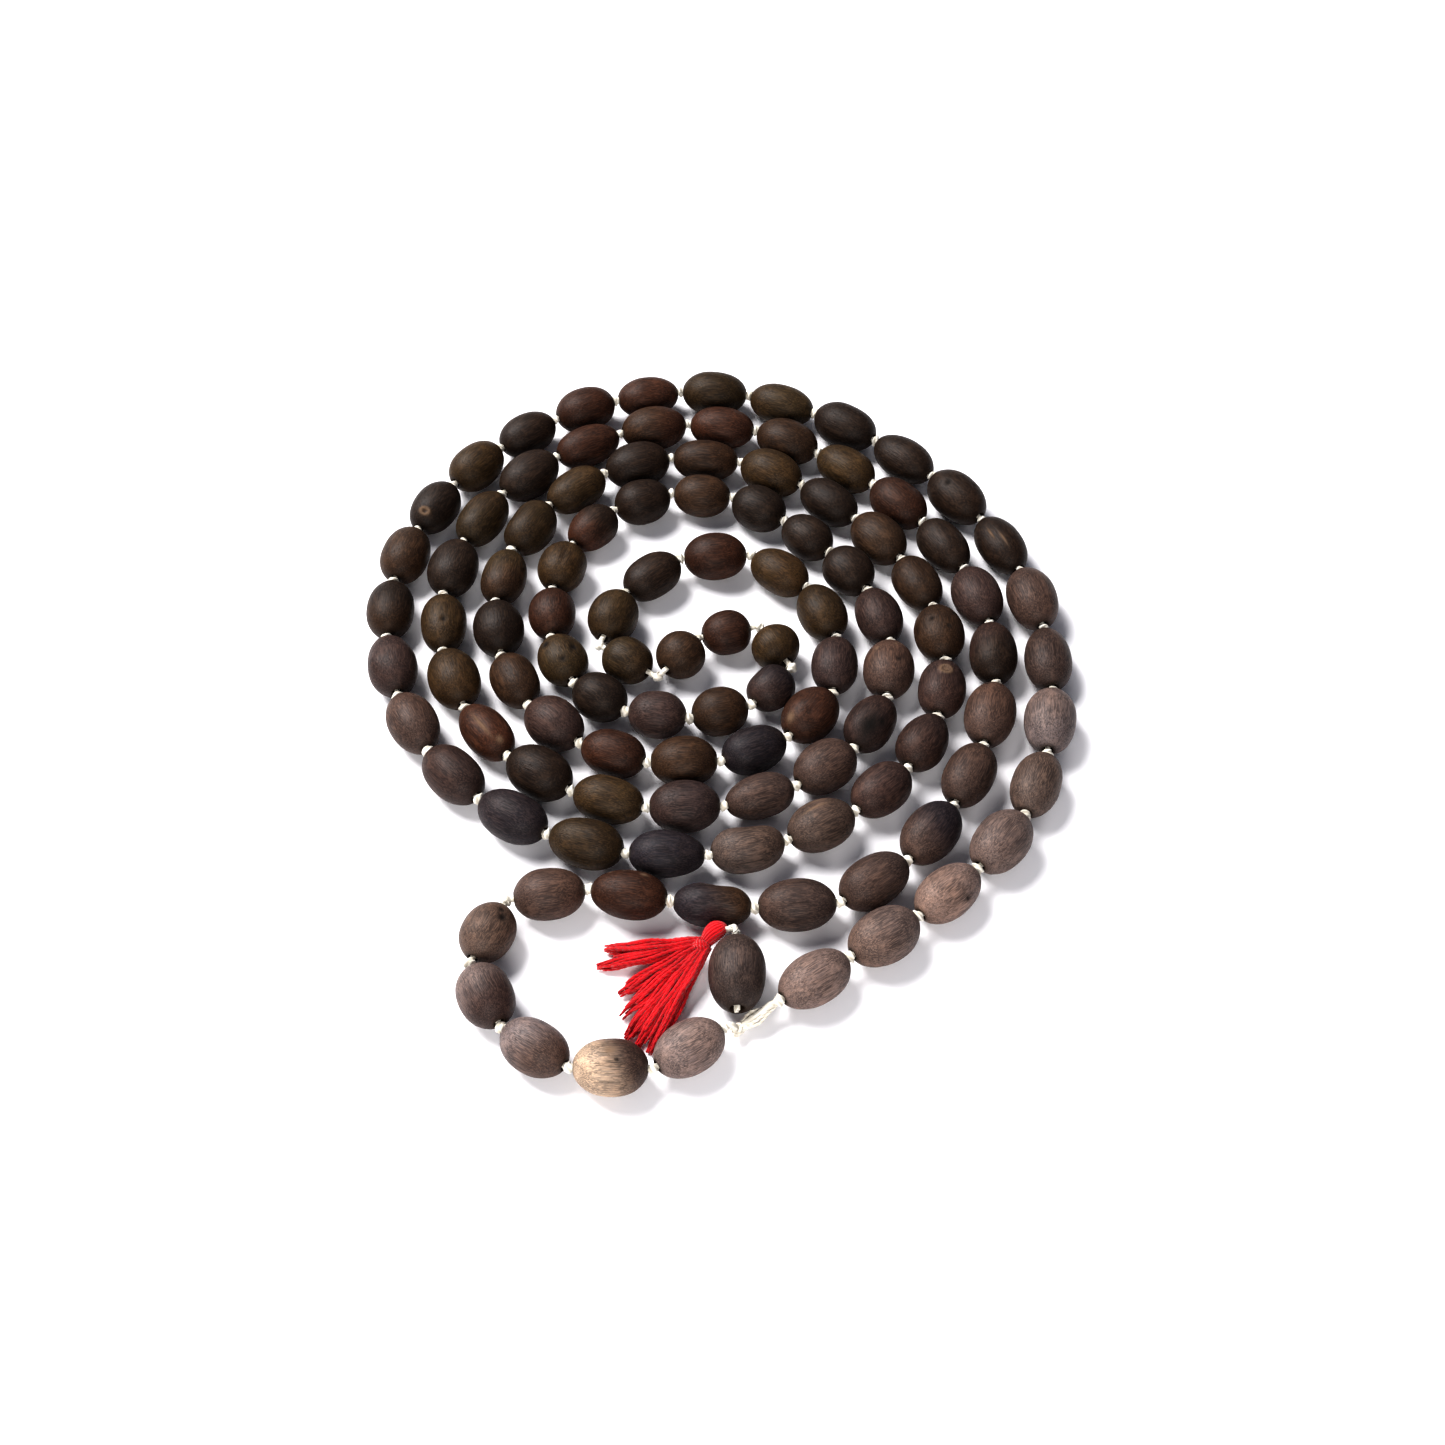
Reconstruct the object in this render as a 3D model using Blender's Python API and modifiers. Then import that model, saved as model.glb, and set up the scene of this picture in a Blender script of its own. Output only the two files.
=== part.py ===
"""Mala of lotus-seed prayer beads: 108 seeds and a guru bead on a knotted cotton cord, with a yarn tassel.

Lengths in the tables are millimetres, and the model is in metres with +Z up. The mala lies on z = 0, wound
into a flat coil of two strands side by side. The guru bead and its tassel lie outside the coil, on its -Y
side. The 24 seeds next to the guru bead on each side turn on the cord one by one. The 60 seeds of the loop's
far part are strung tight, and are made as six strings of ten seeds with their knots.
"""

import math
from dataclasses import dataclass

import bmesh
import bpy
import numpy as np
from mathutils import Matrix, Vector

MM = 0.001

# --- strand -------------------------------------------------------------------------------------------
SEED_COUNT = 108
FREE_SEEDS = 24                 # on each side of the guru bead
SEEDS_PER_STRING = 10
SEED_RADIUS = 5.1               # to the middle of a flat, so a seed rests on a flat at this height
SEED_RADIUS_SPREAD = 0.04
SLIM_SEEDS = {101: 4.6}
SEED_LENGTH_SPREAD = 0.03
SEED_SIDES = 8
SEED_PROFILE = ((0.50, 0.26), (0.40, 0.66), (0.17, 1.0))    # distance along / length, radius / radius
BORE_RADIUS = 1.0
CORD_RADIUS = 0.6
KNOT_RADIUS = 1.15
KNOT_HALF_LENGTH = 0.45
KNOT_TO_SEED = 0.75             # from a knot's middle to the seed's end
SHARP_BEND_ROOM = 2.7           # how fast that room grows where the strand turns sharply
SHARP_BEND_TANGENT = 0.25

# --- route, as seen from above, from the coil's centre --------------------------------------------------
COIL_CENTRE = (0.55, 24.35)       # in the model's frame
EIGHTH_TURN = 45.0
LEAD_OUT_OF_GURU = ((6.0, -105.5), (13.0, -102.0), (24.0, -94.2), (36.0, -86.5), (49.0, -75.5))
INWARD_START_ANGLE = -45.0
INWARD_RADII = (87.2, 71.0, 63.8, 68.8, 71.7, 73.7, 74.2, 69.0, 60.5,
                47.5, 40.6, 45.6, 49.3, 49.8, 50.5, 45.5, 36.0, 22.2)
FAR_FOLD = ((11.5, 12.0), (-3.5, 14.5), (-15.0, 8.5), (-22.5, 0.0), (-26.5, -12.0), (-13.0, -22.5),
            (-5.0, -12.0), (8.0, -7.5), (16.5, -16.0), (9.5, -28.5), (-1.0, -33.3))
OUTWARD_START_ANGLE = 945.0
OUTWARD_RADII = (39.2, 37.5, 37.4, 33.5, 28.5, 35.0, 48.3, 57.2, 62.3, 61.8, 60.3, 57.1, 51.9, 59.1, 73.0)
SMALL_LOOP = ((20.0, -81.8), (2.0, -80.9), (-17.0, -79.0), (-35.5, -77.2), (-46.5, -85.5), (-46.0, -102.0),
              (-34.0, -113.5), (-19.5, -119.0), (-5.5, -113.6), (2.0, -108.0))
BARE_CORD_AT_START = 6.5        # from the route's start to the knot in front of seed 1
BARE_CORD_AT_END = 0.8
KNOT_STATIONS = {14: (-9.0, 68.0), 28: (14.0, -65.0), 42: (-49.0, -1.0), 56: (-13.0, -22.5),
                 72: (33.5, 3.0), 84: (-58.0, 17.0), 96: (58.0, -42.0), 103: (-42.5, -79.5)}
CURVE_STEPS = 40                # steps of the smooth curve between two points of the route

# --- guru bead, its gathering knot and the tassel's loop -------------------------------------------------
GURU_CENTRE = (3.8, -97.1)
GURU_LENGTH = 15.8
GURU_RADIUS = 5.7
GURU_BORE_RADIUS = 1.4
GATHERING_KNOT = (3.8, -107.4)
GATHERING_KNOT_RADIUS = 1.8
GATHERING_KNOT_HALF_LENGTH = 1.3
LOOP_CORD_RADIUS = 0.85         # two cords side by side
LOOP_ROUTE = ((3.8, -105.3, 5.7), (3.8, -89.3, 5.7), (3.75, -88.3, 5.85), (3.45, -87.5, 6.15), (2.85, -87.15, 6.4))

# --- tassel: the head's axis slopes down from the loop, and the skirt fans out on the floor ---------------
TASSEL_PIVOT = (1.75, -86.46, 6.8)
TASSEL_HEADING = 219.0
TASSEL_SLOPE = 20.0
HEAD_PROFILE = ((0.4, 0.6), (1.1, 1.4), (2.2, 1.9), (3.8, 1.85), (5.2, 1.3))       # along, radius
BINDING_PROFILE = ((5.6, 1.45), (5.6, 1.85), (6.1, 2.05), (7.1, 2.05), (7.6, 1.85), (7.6, 1.45))
HEAD_SIDES = 12
SKIRT_SWING_AXIS = (-3.07, -90.36, 4.54)
SKIRT_SECTIONS = (              # left edge, right edge, half height, height of the middle
    ((-3.25, -89.1), (-1.87, -90.8), 1.05, 4.8),
    ((-4.85, -90.39), (-3.47, -92.1), 1.1, 4.05),
    ((-9.0, -89.6), (-4.9, -97.0), 1.6, 3.1),
    ((-15.5, -88.6), (-7.2, -103.0), 1.4, 2.2),
    ((-21.0, -89.2), (-10.2, -108.2), 1.05, 1.6),
    ((-24.3, -90.8), (-13.0, -111.8), 0.6, 0.95),
)
SKIRT_SIDES = 12

MERGE = 0.00001                 # metres

SEED_COLOURS = {
    "lotus_seed_brown": (0.115, 0.066, 0.043),
    "lotus_seed_olive": (0.150, 0.098, 0.055),
    "lotus_seed_dark": (0.070, 0.046, 0.044),
}
CREAM = (0.80, 0.75, 0.62)
RED = (0.62, 0.012, 0.022)


@dataclass
class Seed:
    """One seed of the strand: where it lies and how big it is, in millimetres."""

    number: int
    centre: Vector
    axis: Vector
    length: float
    radius: float


# --- the strand's geometry ------------------------------------------------------------------------------

def spread(number, rate):
    """Return a repeatable value between -1 and 1 for a seed's number."""
    return math.sin(12.9898 * number * rate + 4.1 * rate)


def eighth_turns(start_angle, step, radii):
    """Return a coil's points, one for each eighth of a turn, from its radii."""
    points = []
    for k, radius in enumerate(radii):
        angle = math.radians(start_angle + k * step)
        points.append((radius * math.cos(angle), radius * math.sin(angle)))
    return points


def route_points():
    """Return the strand's whole route, from the guru bead inwards, round the far fold and back out."""
    inward = eighth_turns(INWARD_START_ANGLE, EIGHTH_TURN, INWARD_RADII)
    outward = eighth_turns(OUTWARD_START_ANGLE, -EIGHTH_TURN, OUTWARD_RADII)
    return np.array([*LEAD_OUT_OF_GURU, *inward, *FAR_FOLD, *outward, *SMALL_LOOP])


def smooth_curve(points):
    """Return a natural cubic spline through the points, as a dense row of points."""
    spans = np.linalg.norm(np.diff(points, axis=0), axis=1) ** 0.8
    count = len(points)
    system = np.zeros((count, count))
    right = np.zeros_like(points)
    system[0, 0] = system[-1, -1] = 1.0
    for i in range(1, count - 1):
        before, after = spans[i - 1], spans[i]
        system[i, i - 1:i + 2] = before, 2 * (before + after), after
        right[i] = 6 * ((points[i + 1] - points[i]) / after - (points[i] - points[i - 1]) / before)
    second = np.linalg.solve(system, right)
    steps = np.linspace(0.0, 1.0, CURVE_STEPS, endpoint=False)[:, None]
    pieces = []
    for i, span in enumerate(spans):
        t = steps * span
        slope = (points[i + 1] - points[i]) / span - span * (2 * second[i] + second[i + 1]) / 6
        pieces.append(points[i] + slope * t + second[i] / 2 * t**2
                      + (second[i + 1] - second[i]) / (6 * span) * t**3)
    return np.vstack([*pieces, points[-1:]])


def string_stretch(curve, along, start, end, first, count):
    """Return count + 1 knots between two places on the curve, as far apart as the seeds between them."""
    def place(distance):
        return np.array([np.interp(distance, along, curve[:, k]) for k in range(2)])

    def walk(scale):
        distance, knots = start, [place(start)]
        for number in range(first, first + count):
            room = scale * (1 + SEED_LENGTH_SPREAD * spread(number + 1, 1.0))
            low, high = distance + 0.9 * room, distance + 1.7 * room
            for _ in range(30):
                distance = (low + high) / 2
                if np.linalg.norm(place(distance) - knots[-1]) < room:
                    low = distance
                else:
                    high = distance
            knots.append(place(distance))
        return knots, distance

    short, long = 12.0, 20.0
    for _ in range(40):
        scale = (short + long) / 2
        knots, reached = walk(scale)
        if reached < end:
            short = scale
        else:
            long = scale
    return knots


def string_knots():
    """Return the knots from the one before seed 1 to the one after the last seed, as seen from above."""
    curve = smooth_curve(route_points())
    along = np.concatenate([[0.0], np.cumsum(np.linalg.norm(np.diff(curve, axis=0), axis=1))])
    places, counts = [BARE_CORD_AT_START], [0]
    for knot, near in KNOT_STATIONS.items():
        seeds = knot - counts[-1]
        reach = np.where((along > places[-1] + 10 * seeds) & (along < places[-1] + 20 * seeds))[0]
        gaps = np.linalg.norm(curve[reach] - np.array(near), axis=1)
        places.append(along[reach[np.argmin(gaps)]])
        counts.append(knot)
    places.append(along[-1] - BARE_CORD_AT_END)
    counts.append(SEED_COUNT)
    knots = []
    for i in range(len(places) - 1):
        first, count = counts[i], counts[i + 1] - counts[i]
        stretch = string_stretch(curve, along, places[i], places[i + 1], first, count)
        knots.extend(stretch if i == 0 else stretch[1:])
    return np.array(knots) + np.array(COIL_CENTRE)


def place_seeds(knots):
    """Return the seeds, each on the straight line between two knots and clear of both."""
    lines = np.diff(knots, axis=0)
    directions = lines / np.linalg.norm(lines, axis=1)[:, None]
    turns = np.sum(directions[1:] * directions[:-1], axis=1).clip(-1, 1)
    bends = np.concatenate([[0.0], np.arccos(turns), [0.0]])
    rooms = KNOT_TO_SEED + SHARP_BEND_ROOM * np.maximum(0.0, np.tan(bends / 2) - SHARP_BEND_TANGENT)
    seeds = []
    for i, direction in enumerate(directions):
        start = knots[i] + direction * rooms[i]
        end = knots[i + 1] - direction * rooms[i + 1]
        radius = SLIM_SEEDS.get(i + 1, SEED_RADIUS * (1 + SEED_RADIUS_SPREAD * spread(i + 1, 1.7)))
        centre = (start + end) / 2
        seeds.append(Seed(i + 1, Vector((*centre, radius)), Vector((*direction, 0.0)),
                          float(np.linalg.norm(end - start)), radius))
    return seeds


def knot_centre(knots, seeds, index):
    """Return a knot's middle, at the mean height of the seeds on its two sides."""
    beside = seeds[max(index - 1, 0):index + 1]
    height = sum(seed.radius for seed in beside) / len(beside)
    return Vector((*knots[index], height))


# --- Blender objects ------------------------------------------------------------------------------------

def clear_scene():
    """Remove every object of the scene."""
    for item in list(bpy.data.objects):
        bpy.data.objects.remove(item, do_unlink=True)


def make_material(name, colour, roughness):
    """Return a Principled material of one colour."""
    material = bpy.data.materials.new(name)
    material.use_nodes = True
    shader = material.node_tree.nodes["Principled BSDF"]
    shader.inputs["Base Color"].default_value = (*colour, 1.0)
    shader.inputs["Roughness"].default_value = roughness
    shader.inputs["Metallic"].default_value = 0.0
    return material


def add_object(collection, name, data, material):
    """Put a mesh or curve into the collection under its node's name."""
    item = bpy.data.objects.new(name, data)
    data.materials.append(material)
    collection.objects.link(item)
    return item


def in_plan(point):
    """Return a route point, which is measured from the coil's centre, in the model's frame."""
    return Vector((point[0] + COIL_CENTRE[0], point[1] + COIL_CENTRE[1], *point[2:]))


def add_turned(collection, name, outline, sides, material, closed=True):
    """Add a turned solid from an outline of (radius, height), down the outer side and up any inner side."""
    mesh = bpy.data.meshes.new(name)
    points = [(radius * MM, 0.0, height * MM) for radius, height in outline]
    edges = [(i, i + 1) for i in range(len(points) - 1)]
    if closed:
        edges.append((len(points) - 1, 0))
    mesh.from_pydata(points, edges, [])
    item = add_object(collection, name, mesh, material)
    screw = item.modifiers.new("turn", "SCREW")
    screw.axis = "Z"
    screw.angle = math.tau
    screw.steps = sides
    screw.render_steps = sides
    screw.use_merge_vertices = True
    screw.merge_threshold = MERGE
    screw.use_smooth_shade = False
    return item


def lay_along(item, centre, axis, sides):
    """Lay a turned object with local Z along the axis and the middle of a flat underneath."""
    axis = axis.normalized()
    side = axis.cross(Vector((0.0, 0.0, 1.0))).normalized()
    up = side.cross(axis)
    half_side = math.pi / sides
    across = math.cos(half_side) * up + math.sin(half_side) * side
    turn = Matrix((across, axis.cross(across), axis)).transposed()
    item.matrix_world = Matrix.Translation(centre * MM) @ turn.to_4x4()


def corner_radius(radius, sides):
    """Return a polygon's corner radius from the distance to the middle of its sides."""
    return radius / math.cos(math.pi / sides)


def seed_outline(length, radius, bore):
    """Return a seed's turned outline with its bore."""
    corner = corner_radius(radius, SEED_SIDES)
    upper = [(share * corner, along * length) for along, share in SEED_PROFILE]
    lower = [(r, -z) for r, z in reversed(upper)]
    return [*upper, *lower, (bore, -length / 2), (bore, length / 2)]


def add_free_seed(collection, seed, material):
    """Add one seed that turns on the cord."""
    outline = seed_outline(seed.length, seed.radius, BORE_RADIUS)
    item = add_turned(collection, f"bead_{seed.number:03d}", outline, SEED_SIDES, material)
    lay_along(item, seed.centre, seed.axis, SEED_SIDES)


def add_guru_bead(collection, material):
    """Add the guru bead, which turns on the doubled cord of the tassel's loop."""
    outline = seed_outline(GURU_LENGTH, GURU_RADIUS, GURU_BORE_RADIUS)
    item = add_turned(collection, "guru_bead", outline, SEED_SIDES, material)
    lay_along(item, in_plan((*GURU_CENTRE, GURU_RADIUS)), Vector((0.0, 1.0, 0.0)), SEED_SIDES)


def add_tube(collection, name, points, material):
    """Add a tube of (centre, radius) points in millimetres, eight-sided, with a flat underneath."""
    curve = bpy.data.curves.new(name, "CURVE")
    curve.dimensions = "3D"
    curve.twist_mode = "Z_UP"
    curve.bevel_depth = MM
    curve.bevel_resolution = 2
    curve.use_fill_caps = True
    spline = curve.splines.new("POLY")
    spline.points.add(len(points) - 1)
    for target, (centre, radius) in zip(spline.points, points):
        target.co = (*(centre * MM), 1.0)
        target.radius = radius
        target.tilt = math.pi / SEED_SIDES
    return add_object(collection, name, curve, material)


def knot_points(knots, seeds, index):
    """Return a knot's tube points: the cord out of one seed, the knot, and the cord into the next."""
    centre = knot_centre(knots, seeds, index)
    before, after = seeds[max(index - 1, 0)], seeds[min(index, len(seeds) - 1)]
    reach_before = before.axis * KNOT_HALF_LENGTH
    reach_after = after.axis * KNOT_HALF_LENGTH
    start = Vector((centre.x - reach_before.x, centre.y - reach_before.y, before.radius))
    end = Vector((centre.x + reach_after.x, centre.y + reach_after.y, after.radius))
    return [(start, CORD_RADIUS), (centre, KNOT_RADIUS), (end, CORD_RADIUS)]


def add_seed_string(collection, seeds, knots, first, last, material):
    """Add seeds first to last as one solid with the knots between them."""
    points = []
    if first > FREE_SEEDS + 1:
        points.extend(knot_points(knots, seeds, first - 1)[:2])
    for number in range(first, last + 1):
        seed = seeds[number - 1]
        if number > first:
            points.append((knot_centre(knots, seeds, number - 1), KNOT_RADIUS))
        corner = corner_radius(seed.radius, SEED_SIDES)
        rising = [(-along, share) for along, share in SEED_PROFILE]
        falling = [(along, share) for along, share in reversed(SEED_PROFILE)]
        for along, share in rising + falling:
            points.append((seed.centre + seed.axis * (along * seed.length), share * corner))
    add_tube(collection, f"bead_string_{first:03d}_{last:03d}", points, material)


def add_cord(collection, seeds, knots, material):
    """Add the knotted cord: from the last string, through the free seeds and the gathering knot, and on."""
    gathering = in_plan((*GATHERING_KNOT, GATHERING_KNOT_RADIUS + 0.3))
    points = []
    for index in range(SEED_COUNT - FREE_SEEDS, SEED_COUNT + 1):
        points.extend(knot_points(knots, seeds, index))
    entry = Vector((*knots[-1], seeds[-1].radius))
    exit_ = Vector((*knots[0], seeds[0].radius))
    across = (exit_ - entry).normalized() * GATHERING_KNOT_HALF_LENGTH
    points.append((gathering - across, CORD_RADIUS * 1.4))
    points.append((gathering, GATHERING_KNOT_RADIUS))
    points.append((gathering + across, CORD_RADIUS * 1.4))
    for index in range(0, FREE_SEEDS + 1):
        points.extend(knot_points(knots, seeds, index))
    add_tube(collection, "cord", points, material)


def add_tassel_loop(collection, material):
    """Add the doubled cord that runs from the gathering knot through the guru bead to the tassel."""
    points = [(in_plan(point), LOOP_CORD_RADIUS) for point in LOOP_ROUTE]
    add_tube(collection, "tassel_loop", points, material)


def tassel_frame():
    """Return the frame whose Z runs down the tassel's sloping head, from its pivot on the loop."""
    heading = Matrix.Rotation(math.radians(TASSEL_HEADING), 4, "Z")
    slope = Matrix.Rotation(math.radians(90.0 + TASSEL_SLOPE), 4, "Y")
    return Matrix.Translation(in_plan(TASSEL_PIVOT) * MM) @ heading @ slope


def add_tassel_head(collection, material):
    """Add the head, where the yarn is folded over the loop."""
    outline = [(radius, along) for along, radius in reversed(HEAD_PROFILE)]
    outline = [(0.0, HEAD_PROFILE[-1][0]), *outline, (0.0, HEAD_PROFILE[0][0])]
    item = add_turned(collection, "tassel_head", outline, HEAD_SIDES, material, closed=False)
    item.matrix_world = tassel_frame()


def add_tassel_binding(collection, material):
    """Add the turns of yarn that bind the neck, as one ring."""
    outline = [(radius, along) for along, radius in reversed(BINDING_PROFILE)]
    item = add_turned(collection, "tassel_binding", outline, HEAD_SIDES, material)
    item.matrix_world = tassel_frame()


def add_tassel_skirt(collection, material):
    """Add the skirt of loose yarn, a loft from the round neck to the flat fan."""
    swing_axis = Vector(SKIRT_SWING_AXIS)
    shape = bmesh.new()
    rings = []
    for left, right, half_height, height in SKIRT_SECTIONS:
        middle = (Vector((*left, height)) + Vector((*right, height))) / 2
        half_width = (Vector((*right, height)) - Vector((*left, height))) / 2
        ring = []
        for k in range(SKIRT_SIDES):
            angle = math.tau * (k + 0.5) / SKIRT_SIDES
            rise = Vector((0.0, 0.0, half_height * math.sin(angle)))
            point = middle + half_width * math.cos(angle) + rise
            ring.append(shape.verts.new((point - swing_axis) * MM))
        rings.append(ring)
    for ring, following in zip(rings, rings[1:]):
        for k in range(SKIRT_SIDES):
            m = (k + 1) % SKIRT_SIDES
            shape.faces.new((ring[k], ring[m], following[m], following[k]))
    shape.faces.new(rings[0])
    shape.faces.new(reversed(rings[-1]))
    bmesh.ops.recalc_face_normals(shape, faces=shape.faces)
    mesh = bpy.data.meshes.new("tassel_skirt")
    shape.to_mesh(mesh)
    shape.free()
    item = add_object(collection, "tassel_skirt", mesh, material)
    item.location = in_plan(SKIRT_SWING_AXIS) * MM


def main():
    """Build the mala."""
    clear_scene()
    collection = bpy.data.collections.new("mala_prayer_beads")
    bpy.context.scene.collection.children.link(collection)
    seed_materials = [make_material(name, colour, 0.55) for name, colour in SEED_COLOURS.items()]
    cotton = make_material("cream_cotton", CREAM, 0.9)
    yarn = make_material("red_yarn", RED, 0.8)

    knots = string_knots()
    seeds = place_seeds(knots)
    free_numbers = [*range(1, FREE_SEEDS + 1), *range(SEED_COUNT - FREE_SEEDS + 1, SEED_COUNT + 1)]
    for number in free_numbers:
        add_free_seed(collection, seeds[number - 1], seed_materials[number % len(seed_materials)])
    for first in range(FREE_SEEDS + 1, SEED_COUNT - FREE_SEEDS + 1, SEEDS_PER_STRING):
        material = seed_materials[first // SEEDS_PER_STRING % len(seed_materials)]
        add_seed_string(collection, seeds, knots, first, first + SEEDS_PER_STRING - 1, material)
    add_cord(collection, seeds, knots, cotton)
    add_guru_bead(collection, seed_materials[1])
    add_tassel_loop(collection, cotton)
    add_tassel_head(collection, yarn)
    add_tassel_binding(collection, yarn)
    add_tassel_skirt(collection, yarn)


main()
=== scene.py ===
import logging
import math
from collections.abc import Callable
from dataclasses import dataclass, field
from enum import Enum

import bpy
import numpy as np
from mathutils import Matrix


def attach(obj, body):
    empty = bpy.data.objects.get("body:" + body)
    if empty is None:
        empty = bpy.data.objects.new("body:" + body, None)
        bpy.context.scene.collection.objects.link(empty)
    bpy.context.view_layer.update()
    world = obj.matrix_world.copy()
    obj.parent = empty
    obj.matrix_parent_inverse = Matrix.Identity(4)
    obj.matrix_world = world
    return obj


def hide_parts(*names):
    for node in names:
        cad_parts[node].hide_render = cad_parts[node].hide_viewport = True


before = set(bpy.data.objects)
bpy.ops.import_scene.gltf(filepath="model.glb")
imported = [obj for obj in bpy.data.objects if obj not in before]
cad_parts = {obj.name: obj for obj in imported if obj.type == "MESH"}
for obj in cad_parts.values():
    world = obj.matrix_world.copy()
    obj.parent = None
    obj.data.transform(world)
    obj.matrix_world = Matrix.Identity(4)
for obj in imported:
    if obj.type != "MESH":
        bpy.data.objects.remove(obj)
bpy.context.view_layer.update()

log = logging.getLogger("mala")
Array = np.ndarray
Colour = tuple[float, float, float]
Place = tuple[float, float, float]
Material = bpy.types.Material
Piece = bpy.types.Object
MM = 0.001
UP = np.array([0.0, 0.0, 1.0])

# --- the strand's numbers, in millimetres, as the CAD has them ---
SEED_COUNT = 108
FREE_SEEDS = 24
SEEDS_PER_STRING = 10
COIL_CENTRE = (0.55, 24.35)
LEAD_OUT_OF_GURU = ((6.0, -105.5), (13.0, -102.0), (24.0, -94.2), (36.0, -86.5), (49.0, -75.5))
INWARD_START_ANGLE = -45.0
INWARD_RADII = (87.2, 71.0, 63.8, 68.8, 71.7, 73.7, 74.2, 69.0, 60.5,
                47.5, 40.6, 45.6, 49.3, 49.8, 50.5, 45.5, 36.0, 22.2)
FAR_FOLD = ((11.5, 12.0), (-3.5, 14.5), (-15.0, 8.5), (-22.5, 0.0), (-26.5, -12.0), (-13.0, -22.5),
            (-5.0, -12.0), (8.0, -7.5), (16.5, -16.0), (9.5, -28.5), (-1.0, -33.3))
OUTWARD_START_ANGLE = 945.0
OUTWARD_RADII = (39.2, 37.5, 37.4, 33.5, 28.5, 35.0, 48.3, 57.2, 62.3, 61.8, 60.3, 57.1, 51.9, 59.1, 73.0)
SMALL_LOOP = ((20.0, -81.8), (2.0, -80.9), (-17.0, -79.0), (-35.5, -77.2), (-46.5, -85.5), (-46.0, -102.0),
              (-34.0, -113.5), (-19.5, -119.0), (-5.5, -113.6), (2.0, -108.0))
KNOT_STATIONS = {14: (-9.0, 68.0), 28: (14.0, -65.0), 42: (-49.0, -1.0), 56: (-13.0, -22.5),
                 72: (33.5, 3.0), 84: (-58.0, 17.0), 96: (58.0, -42.0), 103: (-42.5, -79.5)}
BARE_CORD_AT_START, BARE_CORD_AT_END = 6.5, 0.8
SLIM_SEEDS = {101: 4.6}
GURU_CENTRE = (3.8, -97.1, 5.7)
GURU_LENGTH, GURU_RADIUS = 15.8, 5.7
GATHERING_KNOT = (3.8, -107.4, 2.1)
LOOP_ROUTE = ((3.8, -105.3, 5.7), (3.8, -89.3, 5.7), (3.75, -88.3, 5.85), (3.45, -87.5, 6.15),
              (2.7, -87.35, 6.35), (1.2, -87.75, 6.25))     # it ends inside the tassel's head
TASSEL_PIVOT = (1.75, -86.46, 6.8)
TASSEL_HEADING, TASSEL_SLOPE = 219.0, 20.0


def in_plan(points: Array | tuple) -> Array:
    """Return points measured from the coil's centre, in millimetres, in the model's frame in metres.

    Args:
        points: One point or rows of points, (x, y, z).

    Returns:
        The same points in the model's frame.
    """
    return (np.asarray(points, float) + np.array([*COIL_CENTRE, 0.0])) * MM


def unit(vectors: Array) -> Array:
    """Return vectors scaled to length one."""
    return vectors / np.linalg.norm(vectors, axis=-1, keepdims=True)


def angles(count: int) -> Array:
    """Return evenly spaced angles of one whole turn."""
    return np.linspace(0.0, math.tau, count, endpoint=False)


def spread(number: int, rate: float) -> float:
    """Return a repeatable value between -1 and 1 for a seed's number."""
    return math.sin(12.9898 * number * rate + 4.1 * rate)


# --- shader graphs ---
class Wire:
    """A shader socket that can be used in arithmetic; each operator adds its Math node."""

    def __init__(self, graph: "Graph", socket: bpy.types.NodeSocket) -> None:
        """Wrap one output socket of a graph."""
        self.graph, self.socket = graph, socket

    def _math(self, operation: str, *values: "Wire | float", clamp: bool = False) -> "Wire":
        """Return a Math node's result.

        Args:
            operation: The node's operation.
            values: Its inputs in order.
            clamp: Whether the result is kept between 0 and 1.

        Returns:
            The node's output.
        """
        settings = {"operation": operation, "use_clamp": clamp}
        return self.graph.add("ShaderNodeMath", settings, dict(enumerate(values)))

    def __add__(self, other: "Wire | float") -> "Wire":
        """Return the sum."""
        return self._math("ADD", self, other)

    def __sub__(self, other: "Wire | float") -> "Wire":
        """Return the difference."""
        return self._math("SUBTRACT", self, other)

    def __rsub__(self, other: float) -> "Wire":
        """Return a number minus this."""
        return self._math("SUBTRACT", other, self)

    def __mul__(self, other: "Wire | float") -> "Wire":
        """Return the product."""
        return self._math("MULTIPLY", self, other)

    __radd__ = __add__
    __rmul__ = __mul__

    def clamped(self) -> "Wire":
        """Return this kept between 0 and 1."""
        return self._math("ADD", self, 0.0, clamp=True)

    def rise(self, low: float, high: float) -> "Wire":
        """Return 0 below low, 1 above high and a smooth step between, whichever is the larger."""
        settings = {"interpolation_type": "SMOOTHSTEP"}
        return self.graph.add("ShaderNodeMapRange", settings, {0: self, 1: low, 2: high})


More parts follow.
